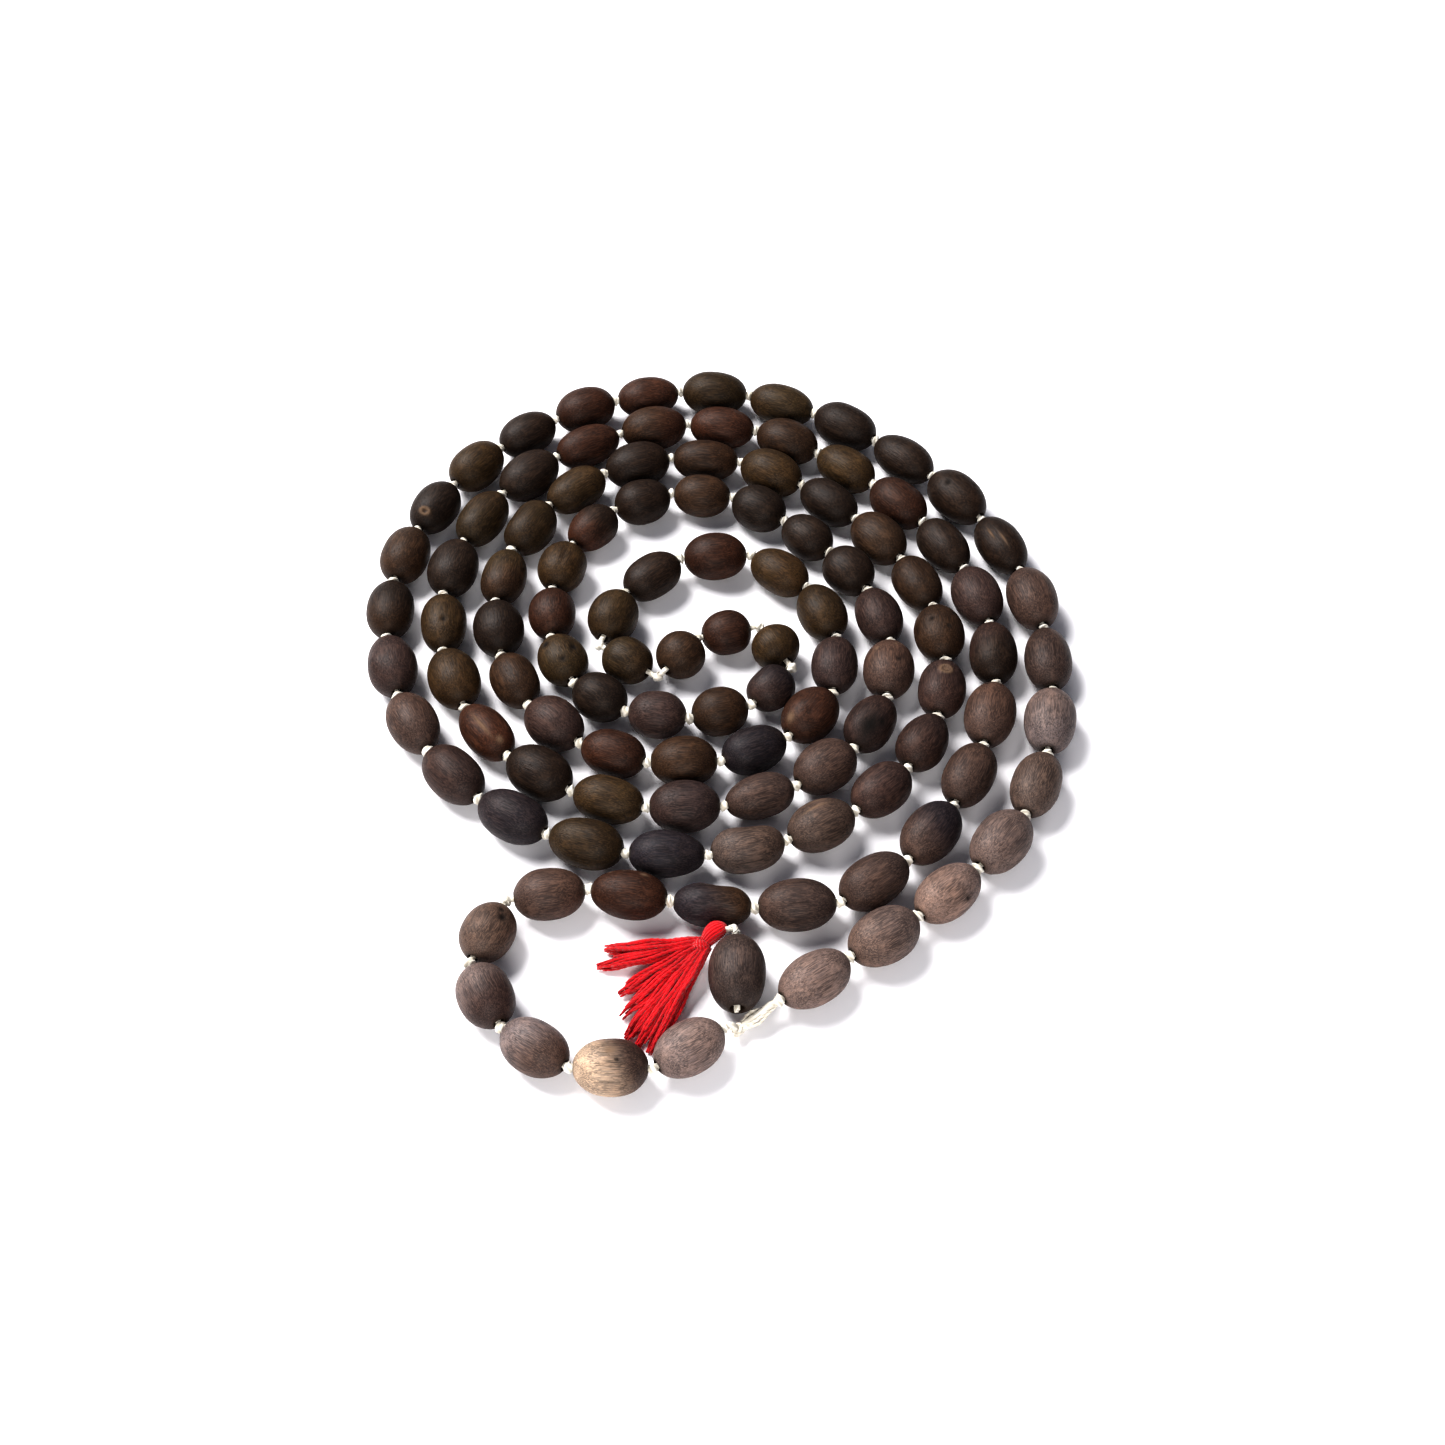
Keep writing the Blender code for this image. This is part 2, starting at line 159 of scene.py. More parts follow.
class Graph:
    """The node tree of one material."""

    def __init__(self, name: str) -> None:
        """Make a material with an empty tree but for its Principled shader."""
        self.material = bpy.data.materials.new(name)
        self.material.use_nodes = True
        self.tree = self.material.node_tree
        self.shader = self.tree.nodes["Principled BSDF"]

    def add(self, kind: str, settings: dict | None = None, inputs: dict | None = None,
            output: int | str = 0) -> Wire:
        """Add a node.

        Args:
            kind: The node's type.
            settings: Its properties, set before its sockets.
            inputs: Values or wires by socket name or number.
            output: The socket that is wanted back.

        Returns:
            The chosen output.
        """
        node = self.tree.nodes.new(kind)
        for key, value in (settings or {}).items():
            setattr(node, key, value)
        self._feed(node, inputs or {})
        return Wire(self, node.outputs[output])

    def _feed(self, node: bpy.types.Node, inputs: dict) -> None:
        """Link or set a node's sockets.

        Args:
            node: The node.
            inputs: Wires, which are linked, and values, which are set, by socket name or number.
        """
        for key, value in inputs.items():
            if isinstance(value, Wire):
                self.tree.links.new(value.socket, node.inputs[key])
            else:
                node.inputs[key].default_value = value

    def attribute(self, name: str, output: str = "Fac") -> Wire:
        """Return a mesh attribute, as a number by default."""
        return self.add("ShaderNodeAttribute", {"attribute_name": name}, output=output)

    def stretched(self, vector: Wire, scale: Place) -> Wire:
        """Return a vector with each part multiplied."""
        return self.add("ShaderNodeVectorMath", {"operation": "MULTIPLY"}, {0: vector, 1: scale})

    def noise(self, vector: Wire, scale: float, detail: float = 2.0, roughness: float = 0.5) -> Wire:
        """Return a noise between 0 and 1."""
        inputs = {"Vector": vector, "Scale": scale, "Detail": detail, "Roughness": roughness}
        return self.add("ShaderNodeTexNoise", {}, inputs, "Fac")

    def blend(self, factor: Wire | float, first: Wire | Colour, second: Wire | Colour,
              how: str = "MIX") -> Wire:
        """Return two colours mixed.

        Args:
            factor: How much of the second colour shows.
            first: The colour underneath.
            second: The colour on top.
            how: The Mix node's blend type.

        Returns:
            The mixed colour.
        """
        inputs = {0: factor, 6: self._colour(first), 7: self._colour(second)}
        return self.add("ShaderNodeMix", {"data_type": "RGBA", "blend_type": how}, inputs, 2)

    @staticmethod
    def _colour(value: Wire | Colour) -> Wire | tuple[float, ...]:
        """Return a plain colour with its alpha, and a wire as it is."""
        return value if isinstance(value, Wire) else (*value, 1.0)

    def bump(self, height: Wire, strength: float, distance: float) -> Wire:
        """Return a bumped normal; distance is in metres."""
        inputs = {"Strength": strength, "Distance": distance, "Height": height}
        return self.add("ShaderNodeBump", {}, inputs)

    def finish(self, colour: Wire | Colour, roughness: Wire | float, normal: Wire | None = None,
               **plain: float) -> Material:
        """Connect the shader.

        Args:
            colour: The base colour.
            roughness: The roughness.
            normal: The bumped normal, if there is one.
            plain: Other sockets' values, with underscores for the spaces in their names.

        Returns:
            The finished material.
        """
        values = {"Base Color": self._colour(colour), "Roughness": roughness}
        values |= {key.replace("_", " "): value for key, value in plain.items()}
        if normal is not None:
            values["Normal"] = normal
        self._feed(self.shader, values)
        return self.material


# --- finishes ---
@dataclass(frozen=True)
class SeedShell:
    """The dry, satin shell of a lotus seed; its own colour comes with each seed."""

    streak: float = 0.62
    roughness: float = 0.48
    black: Colour = (0.010, 0.006, 0.005)
    bare: Colour = (0.19, 0.125, 0.08)

    def material(self) -> Material:
        """Return the shell's material, on each seed's own space and marks."""
        g = Graph("lotus_seed_shell")
        space = g.attribute("seed_space", "Vector")
        tint = g.attribute("seed_tint", "Color")
        pit, scar, rim = (g.attribute(name) for name in ("pit", "scar", "rim"))
        along = g.stretched(space, (1.0, 1.0, 0.055))
        fibres = g.noise(along, 3.0, 3.0, 0.62)
        fine = g.noise(along, 6.5, 2.0, 0.6)
        clouds = g.noise(space, 0.26, 3.0, 0.55)
        worn = g.noise(g.stretched(space, (1.0, 1.0, 0.45)), 0.55, 4.0, 0.65)
        pores = g.noise(g.stretched(space, (1.0, 1.0, 0.6)), 3.4, 1.0, 0.4)
        pore = pores.rise(0.66, 0.74)
        dark = g.blend(0.66, tint, self.black)
        pale = g.blend(0.10, g.blend(1.0, tint, (2.0, 1.85, 1.7), "MULTIPLY"), (0.22, 0.15, 0.11))
        colour = g.blend(clouds.rise(0.62, 0.36) * 0.55, tint, dark)
        colour = g.blend(fibres.rise(0.57, 0.40) * self.streak, colour, dark)
        colour = g.blend(fine.rise(0.47, 0.62) * 0.62, colour, pale)
        colour = g.blend(worn.rise(0.52, 0.70) * 0.50, colour, pale)
        colour = g.blend(pore * 0.35, colour, self.black)
        colour = g.blend(pit, colour, (0.008, 0.006, 0.005))
        colour = g.blend(scar * (0.45 + fine * 0.6).clamped(), colour, self.bare)
        # the ends darken as the shell's own colour, and the inside of the bore is painted dark as painted
        # shade
        colour = g.blend(rim, colour, (0.022, 0.013, 0.008))
        rough = self.roughness + worn * 0.16 + pit * 0.3 + scar * 0.2 - fine * 0.10
        height = fibres * 0.5 + fine * 0.35 + worn * 0.6 - pore * 0.5 + scar * fine * 1.5
        normal = g.bump(height, 0.5, 0.00026)
        return g.finish(colour, rough.clamped(), normal, Specular_IOR_Level=0.20)


@dataclass(frozen=True)
class SpunFibre:
    """Spun fibre, on a UV map whose U goes round a cord and V runs along it, in turns of its twist.

    It is darkened in the grooves between its plies as painted shade; single fibres and slow clouds darken
    and lighten it too, as its own colour.
    """

    colour: Colour
    # the dark tone of fibres and clouds, and the painted shade in the grooves
    deep_and_groove_shade: Colour
    light: Colour
    fibre_scale: float
    cloud_scale: float
    groove_shade: float
    fibre_shade: float
    cloud_shade: float
    lit_fibres: tuple[float, float]     # the noise between which fibres get light
    clouded: tuple[float, float]        # the noise between which clouds get deep
    nap: float                          # the fibres' part in the height
    bump: tuple[float, float]           # its strength, and its height in metres
    roughness: float
    sheen: tuple[float, float]          # its weight and its roughness
    specular: float

    def material(self, name: str) -> Material:
        """Return its material under a name."""
        g = Graph(name)
        uv = g.add("ShaderNodeUVMap", {"uv_map": "twist"})
        groove = g.attribute("groove")
        place = g.add("ShaderNodeTexCoord", output="Object")
        fibres = g.noise(g.stretched(uv, (5.0, 1.0, 1.0)), self.fibre_scale, 3.0, 0.6)
        clouds = g.noise(place, self.cloud_scale, 2.0)
        # painted shade: the grooves between the plies are darkened
        colour = g.blend((1.0 - groove).clamped() * self.groove_shade, self.colour, self.deep_and_groove_shade)
        colour = g.blend(fibres.rise(0.50, 0.30) * self.fibre_shade, colour, self.deep_and_groove_shade)
        colour = g.blend(fibres.rise(*self.lit_fibres) * 0.5, colour, self.light)
        colour = g.blend(clouds.rise(*self.clouded) * self.cloud_shade, colour, self.deep_and_groove_shade)
        return g.finish(colour, self.roughness, g.bump(groove + fibres * self.nap, *self.bump),
                        Sheen_Weight=self.sheen[0], Sheen_Roughness=self.sheen[1],
                        Specular_IOR_Level=self.specular)


# groove_shade is how much painted shade darkens the grooves between the plies
COTTON = SpunFibre(
    colour=(0.84, 0.81, 0.73), deep_and_groove_shade=(0.5208, 0.4617, 0.3504), light=(0.9072, 0.8748, 0.7884),
    fibre_scale=10.8, cloud_scale=260.0, groove_shade=0.75, fibre_shade=0.0, cloud_shade=0.35,
    lit_fibres=(0.50, 0.75), clouded=(0.58, 0.40), nap=0.5, bump=(0.5, 0.00016), roughness=0.86,
    sheen=(0.25, 0.50), specular=0.25)
RED_YARN = SpunFibre(
    colour=(0.72, 0.006, 0.014), deep_and_groove_shade=(0.24, 0.002, 0.006), light=(0.82, 0.020, 0.028),
    fibre_scale=8.0, cloud_scale=170.0, groove_shade=0.55, fibre_shade=0.30, cloud_shade=0.45,
    lit_fibres=(0.52, 0.72), clouded=(0.60, 0.36), nap=0.6, bump=(0.9, 0.00022), roughness=0.78,
    sheen=(0.35, 0.45), specular=0.22)


@dataclass(frozen=True)
class PaleFloor:
    """The plain floor under the mala."""

    colour: Colour = (0.93, 0.925, 0.94)

    def material(self) -> Material:
        """Return the floor's material."""
        return Graph("pale_floor").finish(self.colour, 0.85, Specular_IOR_Level=0.1)


# --- meshes ---
@dataclass
class Surface:
    """A surface as a grid of points, with values at its points and a UV for each."""

    points: Array                                   # rows x columns x 3, in metres
    closed_rows: bool = False                       # the last row joins the first
    caps: bool = False                              # the first and last rows are closed by faces
    values: dict[str, Array] = field(default_factory=dict)
    uv: Array | None = None                         # rows + 1 x columns + 1 x 2 when it wraps

    def faces(self) -> Array:
        """Return the quads of the grid, whose columns always wrap round."""
        rows, columns = self.points.shape[:2]
        spans = rows if self.closed_rows else rows - 1
        r, c = np.meshgrid(np.arange(spans), np.arange(columns), indexing="ij")
        below, beside = (r + 1) % rows, (c + 1) % columns
        corners = (r * columns + c, r * columns + beside, below * columns + beside, below * columns + c)
        return np.stack(corners, axis=-1).reshape(-1, 4)


ATTRIBUTE_KINDS = {1: ("FLOAT", "value"), 3: ("FLOAT_VECTOR", "vector"), 4: ("FLOAT_COLOR", "color")}


def mesh_piece(name: str, surfaces: list[Surface], material: Material) -> Piece:
    """Put one or more grid surfaces into one mesh object at the origin.

    Args:
        name: The piece's name.
        surfaces: Grids whose columns wrap round; each keeps its point values and its UV.
        material: The piece's material.

    Returns:
        The new object, linked to the scene.
    """
    points, loops, sizes, uvs, start = [], [], [], [], 0
    values: dict[str, list[Array]] = {key: [] for key in surfaces[0].values}
    for surface in surfaces:
        rows, columns = surface.points.shape[:2]
        quads = surface.faces()
        points.append(surface.points.reshape(-1, 3))
        loops.append((quads + start).reshape(-1))
        sizes.append(np.full(len(quads), 4))
        for key, rows_of_values in surface.values.items():
            values[key].append(rows_of_values.reshape(rows * columns, -1))
        if surface.uv is not None:
            spans = len(quads) // columns
            r, c = np.meshgrid(np.arange(spans), np.arange(columns), indexing="ij")
            quad_uv = np.stack([surface.uv[r, c], surface.uv[r, c + 1],
                                surface.uv[r + 1, c + 1], surface.uv[r + 1, c]], axis=2)
            uvs.append(quad_uv.reshape(-1, 2))
        if surface.caps:
            first = np.arange(columns)[::-1] + start
            last = np.arange(columns) + start + (rows - 1) * columns
            loops += [first, last]
            sizes.append(np.array([columns, columns]))
            if surface.uv is not None:
                uvs.append(np.zeros((2 * columns, 2)))
        start += rows * columns
    counts = np.concatenate(sizes)
    mesh = bpy.data.meshes.new(name)
    mesh.vertices.add(start)
    mesh.vertices.foreach_set("co", np.concatenate(points).astype(np.float32).ravel())
    mesh.loops.add(int(counts.sum()))
    mesh.loops.foreach_set("vertex_index", np.concatenate(loops).astype(np.int32))
    mesh.polygons.add(len(counts))
    mesh.polygons.foreach_set("loop_start", (np.cumsum(counts) - counts).astype(np.int32))
    mesh.update(calc_edges=True)
    mesh.polygons.foreach_set("use_smooth", np.ones(len(counts), bool))
    if uvs:
        layer = mesh.uv_layers.new(name="twist")
        layer.data.foreach_set("uv", np.concatenate(uvs).astype(np.float32).ravel())
    for key, parts in values.items():
        data = np.concatenate(parts).astype(np.float32)
        kind, prop = ATTRIBUTE_KINDS[data.shape[1]]
        mesh.attributes.new(key, kind, "POINT").data.foreach_set(prop, data.ravel())
    mesh.materials.append(material)
    mesh.validate()
    piece = bpy.data.objects.new(name, mesh)
    bpy.context.scene.collection.objects.link(piece)
    return piece


def settle(piece: Piece, body: str, slot: str, node: str | None = None) -> Piece:
    """Say what a piece belongs to.

    Args:
        piece: The piece.
        body: The CAD body that it moves with.
        slot: Its material slot; not used.
        node: The CAD node that it stands for, if there is one.

    Returns:
        The piece.
    """
    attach(piece, body)
    if node is not None:
        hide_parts(node)
    return piece


def carried_frames(path: Array, up: Array = UP) -> tuple[Array, Array]:
    """Return two sideways directions along a path, turned as little as the path allows.

    The first direction is up less its part along the path; the second is square to both.

    Args:
        path: The path's points.
        up: The direction that the first one keeps to.

    Returns:
        Both directions, one row for each point.
    """
    along = unit(np.gradient(path, axis=0))
    first = unit(up - along * (along @ up)[:, None])
    return first, np.cross(along, first)


def twisted_tube(path: Array, radius: Array, columns: int, plies: int, pitch: float,
                 depth: float = 0.22, phase: float = 0.0) -> Surface:
    """Return a round section carried along a path, with the grooves of its twisted plies.

    The section's radius is multiplied by 1 - depth + depth * |cos(plies / 2 * (angle - turn))|, and turn
    grows by one whole turn every pitch along the path.

    Args:
        path: The centreline's points.
        radius: The radius at each point.
        columns: Points round the section.
        plies: How many plies are twisted together.
        pitch: The length of one whole turn, in metres.
        depth: How deep the grooves are, as a share of the radius.
        phase: The turn at the start.

    Returns:
        The tube, closed at both ends, with "groove" from 0 in a groove to 1 on a ply.
    """
    first, second = carried_frames(path)
    steps = np.linalg.norm(np.diff(path, axis=0), axis=1)
    distance = np.concatenate([[0.0], np.cumsum(steps)])
    angle = angles(columns)
    turn = math.tau * distance / pitch + phase
    ply = np.abs(np.cos(plies / 2 * (angle[None, :] - turn[:, None])))
    reach = radius[:, None] * (1 - depth + depth * ply)
    points = (path[:, None] + reach[..., None] * (np.cos(angle)[None, :, None] * first[:, None]
                                                  + np.sin(angle)[None, :, None] * second[:, None]))
    u = np.broadcast_to(np.linspace(0.0, 1.0, columns + 1)[None, :], (len(path), columns + 1))
    v = np.broadcast_to(distance[:, None] / pitch, u.shape)
    uv = np.stack([u - v, v], axis=-1)
    return Surface(points, caps=True, values={"groove": ply[..., None]}, uv=uv)


# --- the strand ---
@dataclass
class Seed:
    """Where one seed lies, in metres."""

    number: int
    centre: Array
    axis: Array
    length: float
    radius: float

    @property
    def body(self) -> str:
        """Return the CAD body it turns with."""
        free = self.number <= FREE_SEEDS or self.number > SEED_COUNT - FREE_SEEDS
        return f"bead_{self.number:03d}" if free else "strand"

    @property
    def node(self) -> str:
        """Return the CAD node it stands for."""
        if self.body != "strand":
            return self.body
        first = self.number - (self.number - FREE_SEEDS - 1) % SEEDS_PER_STRING
        return f"bead_string_{first:03d}_{first + SEEDS_PER_STRING - 1:03d}"


@dataclass
class Strand:
    """The route of the whole loop, its knots and the places of its seeds, as the CAD works them out."""

    seed_radius: float = 5.1
    radius_spread: float = 0.04
    length_spread: float = 0.03
    knot_to_seed: float = 0.75
    sharp_bend_room: float = 2.7
    sharp_bend_tangent: float = 0.25
    curve_steps: int = 40
    knots: Array = field(init=False)
    seeds: list[Seed] = field(init=False)

    def __post_init__(self) -> None:
        """Work out the knots, then the seeds between them."""
        self.knots = self._string_knots()
        self.seeds = self._place_seeds()

    @staticmethod
    def _eighth_turns(start: float, step: float, radii: tuple[float, ...]) -> Array:
        """Return a coil's points, one for each eighth of a turn, from its radii."""
        angle = np.radians(start + step * np.arange(len(radii)))
        return np.array(radii)[:, None] * np.stack([np.cos(angle), np.sin(angle)], axis=1)

    def _curve(self) -> Array:
        """Return the natural cubic spline through the whole route, spans taken as chord ** 0.8."""
        inward = self._eighth_turns(INWARD_START_ANGLE, 45.0, INWARD_RADII)
        outward = self._eighth_turns(OUTWARD_START_ANGLE, -45.0, OUTWARD_RADII)
        points = np.array([*LEAD_OUT_OF_GURU, *inward, *FAR_FOLD, *outward, *SMALL_LOOP])
        spans = np.linalg.norm(np.diff(points, axis=0), axis=1) ** 0.8
        count = len(points)
        system, right = np.zeros((count, count)), np.zeros_like(points)
        system[0, 0] = system[-1, -1] = 1.0
        slopes = np.diff(points, axis=0) / spans[:, None]
        inner = np.arange(1, count - 1)
        system[inner, inner - 1], system[inner, inner + 1] = spans[:-1], spans[1:]
        system[inner, inner] = 2 * (spans[:-1] + spans[1:])
        right[1:-1] = 6 * np.diff(slopes, axis=0)
        second = np.linalg.solve(system, right)
        t = np.linspace(0.0, 1.0, self.curve_steps, endpoint=False)[None, :, None] * spans[:, None, None]
        slope = (slopes - spans[:, None] * (2 * second[:-1] + second[1:]) / 6)[:, None]
        cubic = ((second[1:] - second[:-1]) / (6 * spans[:, None]))[:, None]
        dense = points[:-1, None] + slope * t + second[:-1, None] / 2 * t**2 + cubic * t**3
        return np.vstack([dense.reshape(-1, 2), points[-1:]])

    def _stretch(self, place: Callable[[float], Array], start: float, end: float, first: int,
                 count: int) -> list[Array]:
        """Return the knots of one stretch.

        Args:
            place: The route's point at a distance along it.
            start: Where the stretch starts.
            end: Where it ends.
            first: How many seeds come before it.
            count: How many seeds it holds.

        Returns:
            The count + 1 knots, as far apart as the seeds between them.
        """
        def walk(scale: float) -> tuple[list[Array], float]:
            """Return the knots for one scale of the seeds, and how far they reach."""
            distance, knots = start, [place(start)]
            for number in range(first, first + count):
                room = scale * (1 + self.length_spread * spread(number + 1, 1.0))
                low, high = distance + 0.9 * room, distance + 1.7 * room
                for _ in range(30):
                    distance = (low + high) / 2
                    if np.linalg.norm(place(distance) - knots[-1]) < room:
                        low = distance
                    else:
                        high = distance
                knots.append(place(distance))
            return knots, distance

        short, long = 12.0, 20.0
        for _ in range(40):
            scale = (short + long) / 2
            knots, reached = walk(scale)
            if reached < end:
                short = scale
            else:
                long = scale
        return knots

    def _string_knots(self) -> Array:
        """Return the knots from the one before seed 1 to the one after the last, from the coil's centre."""
        curve = self._curve()
        along = np.concatenate([[0.0], np.cumsum(np.linalg.norm(np.diff(curve, axis=0), axis=1))])
        places, counts = [BARE_CORD_AT_START], [0]
        for knot, near in KNOT_STATIONS.items():
            seeds = knot - counts[-1]
            reach = np.where((along > places[-1] + 10 * seeds) & (along < places[-1] + 20 * seeds))[0]
            gaps = np.linalg.norm(curve[reach] - np.array(near), axis=1)
            places.append(along[reach[np.argmin(gaps)]])
            counts.append(knot)
        places.append(along[-1] - BARE_CORD_AT_END)
        counts.append(SEED_COUNT)

        def place(distance: float) -> Array:
            """Return the route's point at a distance."""
            return np.array([np.interp(distance, along, curve[:, side]) for side in (0, 1)])

        knots: list[Array] = []
        for i in range(len(places) - 1):
            stretch = self._stretch(place, places[i], places[i + 1], counts[i], counts[i + 1] - counts[i])
            knots.extend(stretch if i == 0 else stretch[1:])
        return np.array(knots)

    def _place_seeds(self) -> list[Seed]:
        """Return the seeds, each on the straight line between two knots and clear of both."""
        directions = unit(np.diff(self.knots, axis=0))
        turns = np.sum(directions[1:] * directions[:-1], axis=1).clip(-1, 1)
        bends = np.concatenate([[0.0], np.arccos(turns), [0.0]])
        sharp = np.maximum(0.0, np.tan(bends / 2) - self.sharp_bend_tangent)
        rooms = self.knot_to_seed + self.sharp_bend_room * sharp
        starts = self.knots[:-1] + directions * rooms[:-1, None]
        ends = self.knots[1:] - directions * rooms[1:, None]
        seeds = []
        for i, (start, end) in enumerate(zip(starts, ends)):
            usual = self.seed_radius * (1 + self.radius_spread * spread(i + 1, 1.7))
            radius = SLIM_SEEDS.get(i + 1, usual)
            centre = in_plan((*((start + end) / 2), radius))
            axis = np.array([*directions[i], 0.0])
            seeds.append(Seed(i + 1, centre, axis, float(np.linalg.norm(end - start)) * MM, radius * MM))
        return seeds

    def breadths(self, most: float = 0.08, spare: float = 0.00012) -> Array:
        """Return how much broader than high each seed is: it grows sideways into the room beside it.

        Every seed is taken as nine discs along its axis. The room beside a seed is the smallest gap, in
        plan, between its discs and those of all seeds but the two that it is strung next to.

        Args:
            most: The most that a seed grows, as a share of its radius.
            spare: The gap that stays, in metres.

        Returns:
            A factor for each seed.
        """
        s = np.linspace(-0.9, 0.9, 9)
        centres = np.array([seed.centre[:2] for seed in self.seeds])
        axes = np.array([seed.axis[:2] for seed in self.seeds])
        lengths = np.array([seed.length for seed in self.seeds])
        radii = np.array([seed.radius for seed in self.seeds])
        discs = centres[:, None] + (s[None, :] * lengths[:, None] / 2)[..., None] * axes[:, None]
        reach = radii[:, None] * np.sqrt(1 - np.abs(s[None, :]) ** 2.2)
        flat, size = discs.reshape(-1, 2), reach.reshape(-1)
        gaps = np.linalg.norm(flat[:, None] - flat[None], axis=-1) - size[:, None] - size[None]
        count = len(self.seeds)
        gaps = gaps.reshape(count, 9, count, 9).min(axis=(1, 3))
        order = np.arange(count)
        gaps[np.abs(order[:, None] - order[None]) <= 1] = 1.0
        return 1 + np.clip((gaps.min(axis=1) - spare) / (2 * radii), 0, most)

    def knot_place(self, index: int) -> Array:
        """Return a knot's middle, at the mean height of the seeds beside it."""
        beside = self.seeds[max(index - 1, 0):index + 1]
        height = sum(seed.radius for seed in beside) / len(beside)
        return np.array([*in_plan((*self.knots[index], 0.0))[:2], height])


# --- seeds ---
class Tone(Enum):
    """The colours that lotus seeds dry to; the pale and the tan tones are also painted light, the wash of a
    bright light on the seeds beside the guru.
    """

    BROWN = (0.036, 0.0195, 0.0105)
    TAUPE = (0.061, 0.040, 0.033)
    MAUVE = (0.043, 0.027, 0.024)
    DARK = (0.0190, 0.0115, 0.0075)
    OLIVE = (0.038, 0.023, 0.0095)
    RED = (0.042, 0.0175, 0.0100)
    SLATE = (0.0195, 0.0160, 0.0195)
    SAND = (0.090, 0.063, 0.051)
    # pale taupe, painted paler and greyer as painted light: the wash of a bright light on the seeds beside
    # the guru
    PALE = (0.140, 0.106, 0.096)
    # a light tan seed, painted paler still as painted light where light washes its end
    TAN_WITH_PAINTED_LIGHT = (0.470, 0.335, 0.235)

    @property
    def slot(self) -> str:
        """Return the CAD's slot that is nearest to it."""
        if self in (Tone.DARK, Tone.SLATE, Tone.MAUVE):
            return "lotus_seed_dark"
        return "lotus_seed_brown" if self in (Tone.BROWN, Tone.TAUPE, Tone.RED) else "lotus_seed_olive"


# the seeds of each tone; the others are brown
SEED_TONES = {
    # the seeds beside the guru get the pale tone partly as painted light
    Tone.PALE: (1, 2, 3, 4, 6, 105, 106, 108),
    Tone.SAND: (5, 28, 29, 104),
    Tone.TAUPE: (7, 8, 23, 74, 76, 77, 96, 97, 99, 100, 103),
    Tone.MAUVE: (22, 30, 24, 31, 32, 45, 50, 62, 73, 75, 78, 94, 95),
    Tone.DARK: (9, 10, 11, 12, 17, 19, 21, 36, 39, 43, 54, 63, 68, 70, 71, 72, 80, 84, 86, 93),
    Tone.OLIVE: (13, 14, 18, 26, 37, 40, 41, 42, 51, 52, 55, 56, 59, 64, 66, 79, 82, 83, 85, 91),
    Tone.RED: (15, 16, 46, 49, 53, 58, 65, 67, 81, 87, 89, 92, 102),
    Tone.SLATE: (25, 27, 48, 60, 98),
    Tone.TAN_WITH_PAINTED_LIGHT: (107,),
}

# the tone at a seed's far end, where it is another one; at 106 and 107 the paler start is painted light on
# their lit ends
FAR_END_TONES = {101: Tone.SLATE, 67: Tone.DARK, 107: Tone.TAUPE, 106: Tone.TAUPE, 98: Tone.TAUPE,
                 60: Tone.MAUVE, 88: Tone.RED, 95: Tone.DARK, 42: Tone.BROWN, 21: Tone.BROWN,
                 105: Tone.MAUVE}


class MarkKind(Enum):
    """What a mark does to the shell beside sinking or raising it."""

    PIT = "dark hole"
    SCAR = "pale, rubbed patch"
    DENT = "shell's own colour"


PIT, SCAR, DENT = MarkKind


@dataclass(frozen=True)
class Mark:
    """A mark on a seed: where it is, how wide, and how deep it is sunk (or raised, below zero)."""

    along: float                # from -1 at the seed's start to 1 at its end
    round: float                # degrees from the top, towards the seed's left as it runs away from the guru
    width: float                # millimetres
    depth: float                # millimetres
    kind: MarkKind = PIT
    ring: float = 0.0           # the radius of a ring-shaped mark, in millimetres
    stretch: float = 1.0        # how much longer it is along the seed than round it

    def bell(self, a: Array, radii: Array, heights: Array, seed_length: float) -> Array:
        """Return the mark's bell, e ** -(gap / width) ** 2, where gap is the way to its point or ring.

        Args:
            a: The angles round the seed.
            radii: The rings' radii, in metres.
            heights: The rings' places along the seed, in metres.
            seed_length: The seed's length, in metres.

        Returns:
            A value between 0 and 1 for each point of the seed.
        """
        across = (np.mod(a - math.radians(self.round) + math.pi, math.tau) - math.pi) * radii
        down = (heights - self.along * seed_length / 2) / self.stretch
        gap = np.hypot(across, down) / MM - self.ring
        return np.exp(-((gap / self.width) ** 2))


